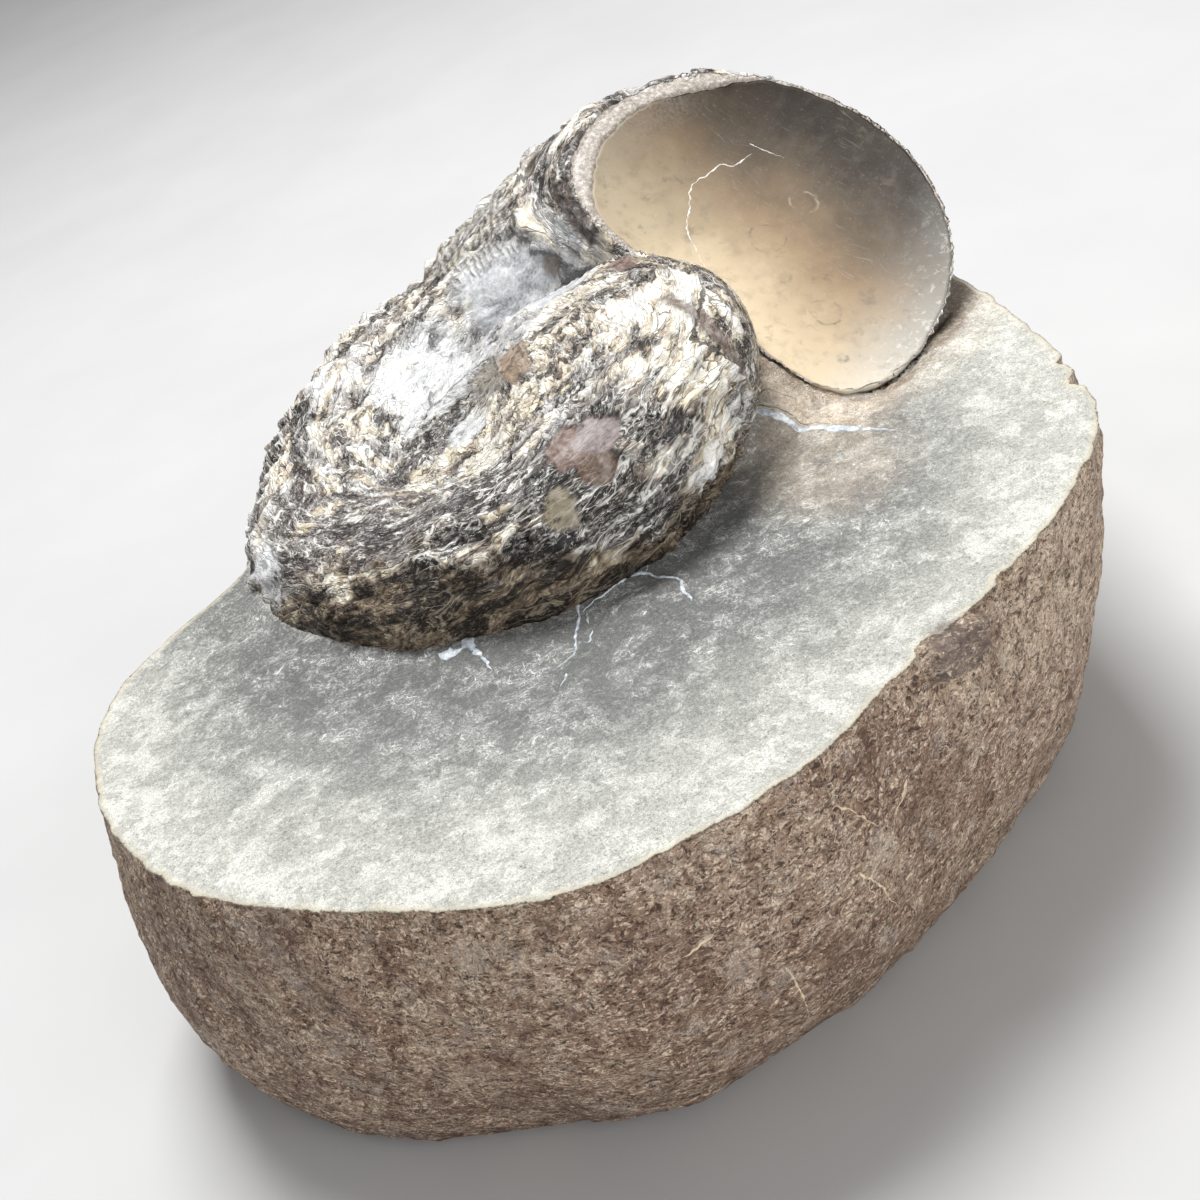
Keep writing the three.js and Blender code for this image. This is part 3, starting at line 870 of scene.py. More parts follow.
stone_points = np.concatenate(rings + [[rings[0].mean(0), rings[-1].mean(0)]])
edge_distance = np.concatenate(edge_distance + [[1.0, -STONE_DEPTH - 5]])
stone_faces = ring_faces(len(rings), RIM_COUNT)
stone_faces += fan(0, RIM_COUNT, len(stone_points) - 2, False)
stone_faces += fan((len(rings) - 1) * RIM_COUNT, RIM_COUNT, len(stone_points) - 1, True)
stone_faces = [face[::-1] for face in stone_faces]
on_face = edge_distance > 0
edge_distance[on_face] = inside_distance(stone_points[on_face][:, :2], rim_out[::2])
print("the stone has", len(stone_points), "points and", 2 * len(stone_faces), "triangles at most")

# %% [markdown]
# ## The ground face
#
# The face was ground by hand, so it is very slightly hollow. It rises in a small fillet where the stone
# meets the shell. Round the low lobe of the mouth it is cut a little deeper than the lip, so the lip
# stands clear with a narrow groove below it, and between the lip and the whorl the stone climbs up.

# %% Distance from the mouth's lip
face_points = stone_points[on_face]
flat = face_points[:, :2]
lip_points = mouth_centre + np.c_[cut_rim, np.zeros(len(cut_rim))] @ mouth_axes
low_lip = lip_points[lip_points[:, 2] < 13]
lip_gap = np.full(len(flat), 99.0)
lip_height = np.zeros(len(flat))
lip_left = np.zeros(len(flat), bool)
for x, y, z in low_lip:
    distance = np.hypot(flat[:, 0] - x, flat[:, 1] - y)
    closer = distance < lip_gap
    lip_gap = np.where(closer, distance, lip_gap)
    lip_height = np.where(closer, z, lip_height)
    lip_left = np.where(closer, x < 42, lip_left)
plane_height = mouth_centre[2] - (flat - mouth_centre[:2]) @ mouth_normal[:2] / mouth_normal[2]
in_cut = in_mouth_frame(np.c_[flat, plane_height])[:, :2]
inside_cut = inside_distance(in_cut, cut_rim)
under_cut = inside_cut > 0
lip_gap = np.where(under_cut, 0, lip_gap)
print("lowest point of the lip:", low_lip[:, 2].min().round(2), "mm")

# %% Heights over the ground face
GROOVE_DEPTH = 0.30
gap = shell_distance(stone_points)
face_gap = np.maximum(gap[on_face], 0)
face_edge = edge_distance[on_face]
dished = -0.9 * ease(face_edge, 0, 26) * ease(face_gap, 0, 14)
rounded = -0.40 * ease(face_edge, 1.5, 0)
fillet = 0.9 * np.exp(-face_gap / 1.2)
MOUND_CENTRE, MOUND_SIZE, MOUND_HEIGHT = np.array([24.0, 42.0]), np.array([17.0, 24.0]), 6.5
mound_part = np.linalg.norm((flat - MOUND_CENTRE) / MOUND_SIZE, axis=1)
mound = MOUND_HEIGHT * np.sqrt(np.maximum(1 - mound_part**2, 0))
wedge = np.where(lip_left, lip_height - GROOVE_DEPTH - 0.8 * np.maximum(lip_gap - 1.5, 0), -9)
groove = lip_height - GROOVE_DEPTH + 0.35 * np.maximum(lip_gap - 1.5, 0)
worked = 0.10 * fractal(face_points / 6, 3, 91) + 0.02 * fractal(face_points / 0.9, 2, 92)
near, second, number = cells(face_points / 2.2, 93)
dents = -0.16 * ease(near, 0.25, 0.05) * (number < 0.15) * ease(face_edge, 20, 4)
height = np.maximum(np.maximum(dished + rounded + fillet, mound), wedge)
height = np.where(lip_gap < 12, np.minimum(height, groove), height)
below_dish = plane_height - np.where(inside_cut > 1.5, DISH_DEPTH + 2.5, 1.0)
height = np.where(under_cut, np.minimum(height, below_dish), height) + worked + dents
for _ in range(30):
    inside = shell_distance(np.c_[flat, height]) < -0.9
    height = np.where(inside & (height > -3), height - 0.35, height)
stone_points[on_face, 2] = height
print("the face lies between", height.min().round(2), "and", height.max().round(2), "mm")

# %% [markdown]
# ## The weathered side
#
# Below the rim the stone keeps its natural skin: broad swells, smaller lumps, and fine grains, with a
# few shallow chips near the rim.

# %% Relief of the side
quads = np.array([face for face in stone_faces if len(face) == 4])
corners = np.array([face for face in stone_faces if len(face) == 3])
triangles = np.concatenate([quads[:, [0, 1, 2]], quads[:, [0, 2, 3]], corners])
stone_normals = point_normals(stone_points, triangles)
on_side = (edge_distance <= 0) & (edge_distance > 1 - STONE_DEPTH)
side_lumps = (0.55 * fractal(stone_points / 17, 2, 101) + 0.28 * fractal(stone_points / 4.5, 3, 102)
              + 0.14 * fractal(stone_points / 1.6, 2, 103))
near, second, number = cells(stone_points / 5.5, 104)
side_pits = -0.35 * ease(near, 0.30, 0.08) * (number < 0.22)
scar = np.linalg.norm((stone_points - (34.6, -33.2, -3.0)) / (4.8, 4.8, 3.6), axis=1)
in_scar = ease(scar + 0.20 * fractal(stone_points / 2, 2, 105), 1.05, 0.85)
scars = in_scar * (0.75 * fractal(stone_points / 2.2, 3, 106) - 1.5)
fade_in = ease(-edge_distance, 0.2, 2.5) * ease(-edge_distance, STONE_DEPTH, STONE_DEPTH - 3)
side_relief = (side_lumps + side_pits) * fade_in + scars * ease(-edge_distance, 0.0, 1.0)
stone_points += stone_normals * np.where(on_side, side_relief, 0)[:, None]
relief_range = side_relief[on_side].min().round(2), side_relief[on_side].max().round(2)
print("side relief in mm, lowest and highest:", relief_range)

# %% The stone piece
stone = make_piece("limestone_nodule", stone_points, stone_faces)
by_lump = np.linalg.norm((flat - (34.0, 13.0)) / (13, 18), axis=1)
tan_stain = np.zeros(len(stone_points))
tan_stain[on_face] = (ease(lip_gap, 11, 2.5) * (0.45 + 0.55 * ease(flat[:, 0], 54, 42))
                      + 0.48 * ease(by_lump, 1.15, 0.45)).clip(0, 1)
lip_distance = np.full(len(stone_points), 99.0)
lip_distance[on_face] = lip_gap
set_values(stone, "edge_distance", edge_distance)
set_values(stone, "shell_gap", gap)
set_values(stone, "lip_gap", lip_distance)
set_values(stone, "scar", in_scar)
set_values(stone, "tan_stain", tan_stain)
print("triangles in the stone:", len(triangles))

# %% [markdown]
# ## Calcite veins and cracks
#
# Thin cracks in the face are filled with white calcite, which stands a hair above the stone, and a few
# straw-coloured threads lie on the brown side. Each one is a narrow closed ribbon that lies along a
# smooth path; its width wanders and its ends taper. The surface under it is found by casting a ray on
# to the finished stone, so a ribbon follows every dent.

# %% Lay ribbons on a surface
def lay_ribbons(name, paths, surface, up, proud):
    """A piece of closed ribbons; each path is (width, points), laid on the surface from above."""
    finder = BVHTree.FromObject(surface, bpy.context.evaluated_depsgraph_get())
    section = ((-1, -0.1), (-0.55, proud), (0.1, proud * 1.5), (0.6, proud), (1, -0.1), (0, -0.4))
    points, faces = [], []
    for seed, (width, corners) in enumerate(paths):
        middle = smooth_path(corners, 0.3)
        wobble = fractal(middle / 1.6 + seed * 7.7, 3, 151)
        step = np.gradient(middle, axis=0)
        sideways = np.cross(up, step)
        sideways /= np.linalg.norm(sideways, axis=1, keepdims=True)
        middle = middle + sideways * (0.18 * fractal(middle / 1.1 + 3.3, 2, 152))[:, None]
        share = np.linspace(0, 1, len(middle))
        taper = np.minimum(ease(share, -0.04, 0.1), ease(share, 1.02, 0.55))
        half = np.maximum(width / 2 * (0.9 + 0.6 * wobble) * taper, 0.04)
        first = len(points)
        for place, side, reach in zip(middle, sideways, half):
            for across, lift in section:
                spot = place + side * reach * across
                start = Vector(to_frame(spot + np.asarray(up) * 6))
                hit = finder.ray_cast(start, -Vector(up))[0]
                ground = spot if hit is None else np.array(hit) / MM - FACE_PLACE
                points.append(ground + np.asarray(up) * lift)
        rows = len(middle)
        faces += ring_faces(rows, 6, first)
        faces += [[first + k for k in range(6)][::-1], [first + (rows - 1) * 6 + k for k in range(6)]]
    piece = make_piece(name, np.array(points), faces)
    print(name, "has", len(paths), "ribbons and", len(faces), "faces")
    return piece


# %% The veins
def on_stone(*spots):
    """Places on the ground face, whose height the ray finds."""
    return [(x, y, 0.0) for x, y in spots]


UP = (0.0, 0.0, 1.0)
vein_paths = [
    (1.6, on_stone((23.6, 26.6), (26.1, 25.3), (28.9, 24.4), (32.3, 22.6), (36.2, 20.2), (40.2, 16.6),
                   (43.5, 12.9), (45.1, 10.5))),
    (0.6, on_stone((26.4, 24.4), (27.2, 23.9), (28.4, 23.0))),
    (0.8, on_stone((9.2, 9.1), (8.8, 6), (7.6, 3.1), (6.8, 1.6))),
    (0.65, on_stone((10.3, -8.4), (10, -4.7), (10.1, -2.3), (8, -0.2), (5.5, 1.6), (2.2, 0.4),
                    (-0.4, -0.5), (-2.5, -1.7))),
    (0.55, on_stone((-2.3, 1.8), (-3, -1.4), (-4.3, -5.6), (-5.1, -9.2), (-6.7, -10.4), (-8.4, -11.3))),
    (0.3, on_stone((-2.1, -2), (-2.5, -4.3))),
    (0.32, on_stone((-2.3, -6.1), (-3, -8.1), (-3.8, -7.7))),
    (0.3, on_stone((-6.8, -13.1), (-8, -15.3))),
    (2.2, on_stone((-17.5, 3.0), (-17.2, 0.8), (-16.6, -0.8), (-16.2, -2.2))),
    (0.5, on_stone((-16.4, -1.6), (-15.8, -4), (-15.5, -6.2))),
    (1.8, on_stone((-21.4, 1.8), (-20.2, 0.9), (-19.0, 0.7), (-18.0, 0.9))),
]
veins = lay_ribbons("calcite_veins", vein_paths, stone, UP, 0.08)
crack_paths = [
    (0.35, on_stone((27.2, 26.2), (30.8, 24.9), (34.2, 22.8), (37.6, 20.4))),
    (0.32, on_stone((29.7, 32), (29.4, 29.8), (30.5, 27.4), (31.8, 28.2), (33.6, 26.9), (34.9, 26.1))),
]
cracks = lay_ribbons("open_cracks", crack_paths, stone, UP, 0.02)

# %% Threads on the brown side
thread_paths = [
    (0.60, ((24.3, -40.5, -11.7), (23.4, -41.0, -12.9), (22.4, -41.6, -13.9), (20.9, -42.8, -15.2))),
    (0.36, ((15.4, -46.2, -7.0), (16.7, -45.8, -8.2), (17.9, -45.3, -10.7), (19.3, -44.1, -13.4))),
    (0.42, ((15.3, -46.3, -16.7), (16.4, -45.3, -18.9), (17.3, -44.4, -20.9), (18.2, -42.6, -25.0),
            (19.1, -40.7, -28.9))),
    (0.38, ((4.4, -49.1, -22.8), (4.9, -47.6, -28.1), (5.0, -44.3, -36.1))),
    (0.44, ((-5.6, -52.2, -13.4), (-4.5, -52.2, -13.0), (-2.2, -52.1, -12.3), (-1.2, -52.0, -11.4))),
    (0.32, ((17.6, -45.0, -17.5), (16.2, -45.6, -20.0), (16.9, -44.2, -22.4))),
]
outwards = np.array([0.25, -0.90, 0.36])
outwards /= np.linalg.norm(outwards)
threads = lay_ribbons("pale_threads", thread_paths, stone, tuple(outwards), 0.04)


# %% Veins in the filling
def on_filling(*spots):
    """Places given in the plane of the cut."""
    return [tuple(mouth_centre + np.array([x, y, -1.5]) @ mouth_axes) for x, y in spots]


scratch_paths = [
    (0.34, on_filling((-8.2, 6.1), (-8.6, 2.7), (-10.5, 1.6), (-10.4, -0.4), (-10.9, -4.3), (-8.9, -7),
                      (-5.1, -11.6), (1, -14.9), (4.6, -17.5))),
    (0.22, on_filling((-9.5, 7.2), (-6.5, 7.9), (-3.8, 8.6))),
]
scratches = lay_ribbons("filling_veins", scratch_paths, filling, tuple(mouth_normal), 0.03)

# %% [markdown]
# ## Finishes
#
# Every finish is a node material. The same few nodes come back in each one, so a small helper class adds
# a node, fills its inputs, and hands back its output, which the next call can take. A finish then reads
# like a recipe: a look, laid over it another look where some value says so, and so on. Distances in the
# materials are in millimetres.

# %% A helper for finishes
class Finish:
    """A material with short ways to add nodes."""

    def __init__(self, name):
        self.material = bpy.data.materials.new(name)
        self.material.use_nodes = True
        self.tree = self.material.node_tree
        self.shader = self.tree.nodes["Principled BSDF"]

    def put(self, socket, value):
        """Links a socket to another node's output, or sets it to a plain value."""
        if isinstance(value, bpy.types.NodeSocket):
            self.tree.links.new(value, socket)
        elif isinstance(value, (tuple, list)) and len(value) == 3 and socket.type == "RGBA":
            socket.default_value = (*value, 1)
        else:
            socket.default_value = value

    def add(self, kind, inputs, output=0, **settings):
        """Adds a node, fills its inputs and returns one of its outputs."""
        node = self.tree.nodes.new("ShaderNode" + kind)
        for name, value in settings.items():
            setattr(node, name, value)
        for name, value in inputs.items():
            self.put(node.inputs[name], value)
        return node.outputs[output]

    def read(self, name, output="Fac"):
        """A value that was stored on the mesh."""
        return self.add("Attribute", {}, output, attribute_name=name)

    def place(self, stretch=(1, 1, 1)):
        """The point's place in mm."""
        spot = self.add("TexCoord", {}, "Object")
        return self.add("VectorMath", {0: spot, 1: [1000 * s for s in stretch]}, operation="MULTIPLY")

    def scaled(self, vector, stretch):
        return self.add("VectorMath", {0: vector, 1: stretch}, operation="MULTIPLY")

    def shifted(self, vector, offset):
        return self.add("VectorMath", {0: vector, 1: offset}, operation="ADD")

    def maths(self, operation, first, second=0.0, third=0.0):
        return self.add("Math", {0: first, 1: second, 2: third}, operation=operation)

    def times(self, first, second):
        return self.maths("MULTIPLY", first, second)

    def plus(self, first, second):
        return self.maths("ADD", first, second)

    def weigh(self, value, weight, rest):
        """value times weight, plus the rest."""
        return self.maths("MULTIPLY_ADD", value, weight, rest)

    def larger(self, first, second):
        return self.maths("MAXIMUM", first, second)

    def first_of(self, vector):
        return self.add("SeparateXYZ", {"Vector": vector}, 0)

    def slope(self, value, low, high):
        """0 at low and 1 at high, smooth between; low may be the larger."""
        return self.add("MapRange", {"Value": value, "From Min": low, "From Max": high},
                        interpolation_type="SMOOTHSTEP")

    def noise(self, place, per_mm, detail=4.0, roughness=0.55, distortion=0.0, output="Fac"):
        """Cloudy noise with so many blobs per mm."""
        return self.add("TexNoise", {"Vector": place, "Scale": per_mm, "Detail": detail,
                                     "Roughness": roughness, "Distortion": distortion}, output)

    def cells(self, place, per_mm, output="Distance", feature="F1"):
        """Grains with straight edges, so many per mm."""
        return self.add("TexVoronoi", {"Vector": place, "Scale": per_mm}, output, feature=feature)

    def mix(self, share, first, second, blend="MIX"):
        """Colour between two looks."""
        return self.add("Mix", {0: share, 6: first, 7: second}, 2, data_type="RGBA", blend_type=blend)

    def tint(self, look, where, most, colour):
        """Lays a colour over a look where a value says, up to the share most."""
        return self.mix(self.times(where, most), look, colour)

    def shade(self, look, grey):
        """Multiplies a look by a grey value."""
        greys = self.add("CombineColor", {0: grey, 1: grey, 2: grey})
        return self.mix(1.0, look, greys, "MULTIPLY")

    def ramp(self, value, *stops):
        """A colour scale: pairs of position and colour."""
        output = self.add("ValToRGB", {"Fac": value})
        scale = output.node.color_ramp
        while len(scale.elements) < len(stops):
            scale.elements.new(0.5)
        for element, (position, colour) in zip(scale.elements, stops):
            element.position = position
            element.color = (*colour, 1)
        return output

    def warped(self, place, per_mm, amount):
        """A place pushed about by noise, which makes edges uneven."""
        push = self.noise(place, per_mm, 2, output="Color")
        push = self.shifted(push, (-0.5, -0.5, -0.5))
        push = self.scaled(push, (amount, amount, amount))
        return self.add("VectorMath", {0: place, 1: push}, operation="ADD")

    def count(self, step):
        print(self.material.name, "after", step, "has", len(self.tree.nodes), "nodes")

    def finish(self, colour, roughness, height=None, height_mm=0.1, strength=1.0):
        """Feeds the shader: colour, roughness and a fine relief."""
        self.put(self.shader.inputs["Base Color"], colour)
        self.put(self.shader.inputs["Roughness"], roughness)
        if height is not None:
            bump = self.add("Bump", {"Height": height, "Distance": height_mm * MM, "Strength": strength})
            self.put(self.shader.inputs["Normal"], bump)
        self.count("the last step")
        return self.material


print("ways to build a finish:", [name for name in vars(Finish) if not name.startswith("_")])

# %% [markdown]
# ## The nodule's finish
#
# Two surfaces meet at the rim. The ground face is pale grey limestone: bluish and darker near the shell,
# partly its own colour and partly painted shade where the shell shades it, cream and covered in fine
# white scratches towards the rim, with a warm stain round the mouth and a brown band of painted shadow
# in the groove under the lip. The side is a brown skin whose grains are cells of two sizes, pale and
# nearly black; it is painted darker and redder towards the base, partly its own colour and partly
# painted shade, and paler towards the right, partly a dusty look and partly painted light. A stored
# distance from the rim tells the two surfaces apart; stored distances from the shell and the lip place
# the stained zones and the painted shade.

# %% Patterns in the limestone
rock = Finish("nodule_limestone")
spot = rock.place()
edge = rock.read("edge_distance")
shell_near = rock.read("shell_gap")
blotch = rock.noise(spot, 0.07, 4, 0.6)
mottle = rock.noise(spot, 0.32, 6, 0.65)
speck = rock.noise(spot, 2.2, 5, 0.8, 0.3)
grit = rock.noise(spot, 5.0, 3, 0.7)
curved = rock.warped(spot, 0.16, 9)
tight = rock.warped(spot, 0.45, 3.5)


def stroke(place, stretch, low, high):
    """Short thin strokes: noise drawn out along one direction."""
    drawn = rock.noise(rock.scaled(place, stretch), 1.0, 3, 0.6)
    return rock.slope(drawn, low, high)


strokes = rock.larger(stroke(curved, (0.45, 3.6, 2.0), 0.56, 0.64),
                           stroke(tight, (3.6, 0.5, 2.0), 0.57, 0.65))
curl_noise = rock.noise(tight, 1.0, 4, 0.7, 0.6)
curl = rock.maths("ABSOLUTE", rock.maths("SUBTRACT", curl_noise, 0.5))
curl_line = rock.slope(curl, 0.020, 0.0)
rock.count("its patterns")

# %% The ground face
SCRATCH_WHITE = (0.76, 0.76, 0.715)
face_part = rock.slope(rock.weigh(blotch, -30.0, edge), 14.0, -12.0)
face = rock.mix(face_part, (0.280, 0.282, 0.272), (0.60, 0.60, 0.545))
# Bluish and darker near the shell: partly the stone's own colour, partly painted shade where the shell
# shades the face.
near_shell_tone_and_shade = rock.slope(rock.weigh(mottle, 12.0, shell_near), 31.0, 11.0)
near_shell_tone_and_shade = rock.times(near_shell_tone_and_shade, rock.slope(rock.first_of(spot), 62.0, 38.0))
face = rock.tint(face, near_shell_tone_and_shade, 0.87, (0.135, 0.137, 0.134))
stain = rock.times(rock.read("tan_stain"), rock.slope(mottle, 0.2, 0.55))
face = rock.tint(face, stain, 0.85, (0.70, 0.575, 0.44))
# Painted shadow: a brown band in the groove under the lip of the mouth, where the lip shades the face.
groove_painted_shadow = rock.slope(rock.weigh(mottle, 2.0, rock.read("lip_gap")), 4.0, 2.0)
face = rock.tint(face, groove_painted_shadow, 0.8, (0.25, 0.18, 0.12))
dark_grain = rock.times(rock.slope(speck, 0.50, 0.34), 0.60)
face = rock.mix(dark_grain, face, (0.12, 0.12, 0.117))
band = rock.slope(rock.weigh(mottle, -34.0, edge), 22.0, -10.0)
dusted = rock.slope(rock.noise(tight, 0.26, 6, 0.72), 0.44, 0.62)
marks = rock.larger(strokes, curl_line)
marks = rock.times(marks, rock.weigh(dusted, 0.7, 0.12))
face = rock.tint(face, marks, 0.85, SCRATCH_WHITE)
clouded = rock.weigh(dusted, 0.32, 0.82)
face = rock.shade(face, clouded)
grain_part = rock.times(rock.slope(speck, 0.52, 0.66), rock.weigh(band, 0.5, 0.25))
face = rock.tint(face, grain_part, 0.75, SCRATCH_WHITE)
gritty = rock.weigh(grit, 1.9, 0.05)
face = rock.shade(face, gritty)
crust_part = rock.weigh(curl_noise, 5.0, shell_near)
face = rock.tint(face, rock.slope(crust_part, 2.9, 2.2), 0.75, (0.50, 0.49, 0.46))
edge_line = rock.slope(rock.weigh(mottle, 2.4, edge), 2.4, 1.2)
face = rock.tint(face, edge_line, 0.7, (0.66, 0.60, 0.46))
rock.count("the ground face")

# %% The weathered skin
skin_tone = rock.weigh(blotch, 0.6, rock.weigh(mottle, 0.3, 0.1))
# Painted shade: darker and redder towards the base of the side, partly the skin's own colour.
skin_tone = rock.plus(skin_tone, rock.times(rock.slope(edge, -6.0, -40.0), -0.07))
# Paler towards the right: partly a paler, dusty skin and partly painted light on that side.
across = rock.first_of(spot)
skin_tone = rock.plus(skin_tone, rock.times(rock.slope(across, 15.0, 65.0), 0.13))
skin_look = rock.ramp(skin_tone, (0.30, (0.175, 0.102, 0.068)), (0.50, (0.345, 0.226, 0.158)),
                           (0.64, (0.50, 0.368, 0.266)), (0.80, (0.66, 0.525, 0.395)))
rough_spot = rock.scaled(rock.warped(spot, 0.7, 1.6), (0.75, 1.2, 1.2))
coarse_grain = rock.add("SeparateColor", {"Color": rock.cells(rough_spot, 1.5, "Color")}, 0)
small_grain = rock.add("SeparateColor", {"Color": rock.cells(rough_spot, 3.3, "Color")}, 0)
fleck = rock.weigh(coarse_grain, 0.26, rock.times(small_grain, 0.34))
fleck = rock.weigh(rock.noise(rough_spot, 1.0, 6, 0.78), 0.80, fleck)
skin_look = rock.tint(skin_look, rock.slope(fleck, 0.69, 0.46), 0.88, (0.038, 0.022, 0.016))
skin_look = rock.tint(skin_look, rock.slope(fleck, 0.75, 0.97), 0.90, (0.88, 0.72, 0.56))
shaded = rock.slope(rock.noise(tight, 0.42, 5, 0.72), 0.50, 0.34)
skin_look = rock.tint(skin_look, shaded, 0.62, (0.085, 0.050, 0.034))
skin_look = rock.tint(skin_look, rock.slope(speck, 0.48, 0.36), 0.7, (0.035, 0.021, 0.015))
skin_marks = rock.times(strokes, rock.slope(mottle, 0.42, 0.60))
skin_look = rock.tint(skin_look, skin_marks, 0.85, (0.80, 0.69, 0.57))
dusty = rock.noise(rock.warped(spot, 0.25, 5), 0.16, 4, 0.65)
dusty_part = rock.times(rock.slope(dusty, 0.54, 0.68), rock.slope(curl_noise, 0.35, 0.6))
skin_look = rock.tint(skin_look, dusty_part, 0.55, (0.45, 0.39, 0.34))
rust_part = rock.slope(rock.noise(spot, 0.11, 4, 0.6), 0.50, 0.66)
skin_look = rock.tint(skin_look, rust_part, 0.4, (0.125, 0.066, 0.046))
skin_look = rock.shade(skin_look, gritty)
rock.count("the skin")

# %% Put the limestone together
skin_part = rock.slope(rock.weigh(speck, 1.3, edge), 0.75, 0.50)
stone_colour = rock.mix(skin_part, face, skin_look)
scar_part = rock.times(rock.read("scar"), rock.slope(fleck, 1.10, 0.70))
stone_colour = rock.tint(stone_colour, scar_part, 0.75, (0.165, 0.130, 0.116))
stone_rough = rock.weigh(mottle, 0.25, 0.60)
face_height = rock.weigh(strokes, 0.10, rock.times(speck, 0.45))
skin_height = rock.weigh(mottle, 1.2, rock.times(fleck, 1.1))
height = rock.add("Mix", {0: skin_part, 2: face_height, 3: skin_height}, 0)
rock.put(rock.shader.inputs["Specular IOR Level"], 0.25)
rock.finish(stone_colour, stone_rough, height, 0.4, 0.9)

# %% [markdown]
# ## The shell's finish
#
# Fossil shell is layers of calcite, broken into thin sheets that lie along the whorl: nearly black where
# it is thick and stained, cream and white where it is bruised, mauve-grey where a sheet lies whole, and
# slightly glossy where it is pearly. A noise cut into steps gives sheets that overlap: each step is one
# sheet with its own tone, and the edge between two steps is a torn edge, with a dark line of painted
# shadow just under it. Cells of two sizes, pushed about by noise, give the separate flakes between them.
# Everything is made in the coil's own coordinates, stretched along the spiral, and values stored on the
# mesh say where the shell is darker, paler, browner, whole, frosted or ribbed; the darker places include
# painted shade on the low near side and in the crease.

# %% Patterns in the shell
fossil = Finish("flaked_shell")
coil_spot = fossil.read("grain", "Vector")
object_spot = fossil.place()
streak = fossil.warped(fossil.scaled(coil_spot, (0.28, 1.0, 1.0)), 0.22, 3.0)


def overlapping(place, per_mm, count):
    """The number of the sheet a point lies on, and how far across the sheet it is."""
    field = fossil.times(fossil.noise(place, per_mm, 2, 0.45), count)
    step = fossil.maths("FLOOR", field)
    number = fossil.add("TexWhiteNoise", {"W": step}, "Value", noise_dimensions="1D")
    return number, fossil.maths("FRACT", field)


def flakes(place, per_mm):
    """Separate flakes: a number for each one, and the distance to its edge."""
    number = fossil.add("SeparateColor", {"Color": fossil.cells(place, per_mm, "Color")}, 0)
    return number, fossil.cells(place, per_mm, feature="DISTANCE_TO_EDGE")


torn = fossil.warped(streak, 0.9, 0.9)
wide_number, wide_part = overlapping(streak, 0.15, 14)
thin_number, thin_part = overlapping(torn, 0.40, 8)
big_flake, big_edge = flakes(torn, 0.34)
small_flake, small_edge = flakes(torn, 0.85)
medium = fossil.noise(streak, 0.50, 5, 0.6, 0.25)
fine = fossil.noise(fossil.scaled(coil_spot, (0.5, 1.0, 1.0)), 1.9, 5, 0.72, 0.5)
patchy = fossil.noise(object_spot, 0.12, 3, 0.5)
shell_grit = fossil.noise(coil_spot, 4.5, 3, 0.7)
fossil.count("its patterns")

# %% Dark, grey, cream and white sheets
value = fossil.weigh(medium, 0.55, fossil.times(patchy, 0.70))
value = fossil.weigh(wide_number, 0.26, value)
value = fossil.weigh(thin_number, 0.16, value)
value = fossil.weigh(big_flake, 0.32, value)
value = fossil.weigh(small_flake, 0.24, value)
value = fossil.weigh(fine, 0.30, value)
value = fossil.plus(value, fossil.read("tone"))
value = fossil.weigh(value, 1.40, -1.395)
warm_look = fossil.ramp(value, (0.10, (0.016, 0.011, 0.008)), (0.30, (0.058, 0.043, 0.033)),
                        (0.46, (0.16, 0.125, 0.098)), (0.60, (0.34, 0.285, 0.215)),
                        (0.74, (0.64, 0.55, 0.39)), (0.92, (0.86, 0.82, 0.72)))
cool_look = fossil.ramp(value, (0.10, (0.015, 0.013, 0.013)), (0.30, (0.060, 0.052, 0.050)),
                        (0.46, (0.155, 0.140, 0.134)), (0.60, (0.30, 0.285, 0.278)),
                        (0.74, (0.56, 0.55, 0.535)), (0.92, (0.86, 0.865, 0.87)))
warmth = fossil.weigh(fossil.read("cream"), 0.25, fossil.noise(streak, 0.30, 4, 0.6))
warmth = fossil.weigh(fossil.read("brown"), 0.15, warmth)
shell_look = fossil.mix(fossil.slope(warmth, 0.44, 0.58), cool_look, warm_look)
brown_part = fossil.times(fossil.slope(thin_number, 0.55, 0.65), fossil.slope(medium, 0.40, 0.52))
brown_part = fossil.times(brown_part, fossil.weigh(fossil.read("brown"), 0.55, 0.10))
brown_look = fossil.ramp(fine, (0.36, (0.055, 0.036, 0.024)), (0.50, (0.165, 0.118, 0.075)),
                         (0.62, (0.40, 0.32, 0.215)))
shell_look = fossil.mix(brown_part, shell_look, brown_look)
frosting = fossil.times(fossil.read("frost"), fossil.slope(medium, 0.34, 0.52))
shell_look = fossil.tint(shell_look, frosting, 0.85, (0.74, 0.76, 0.775))
fossil.count("its sheets")

# %% Whole, mauve-grey places
plain_tone = fossil.plus(fossil.weigh(value, 0.20, fine), -0.12)
plain_look = fossil.ramp(plain_tone, (0.36, (0.040, 0.032, 0.031)), (0.48, (0.138, 0.118, 0.114)),
                         (0.58, (0.27, 0.247, 0.238)), (0.68, (0.66, 0.65, 0.63)))
plain_part = fossil.times(fossil.read("plain"), fossil.slope(value, 0.95, 0.60))
shell_look = fossil.tint(shell_look, plain_part, 0.85, plain_look)
fossil.count("its whole places")

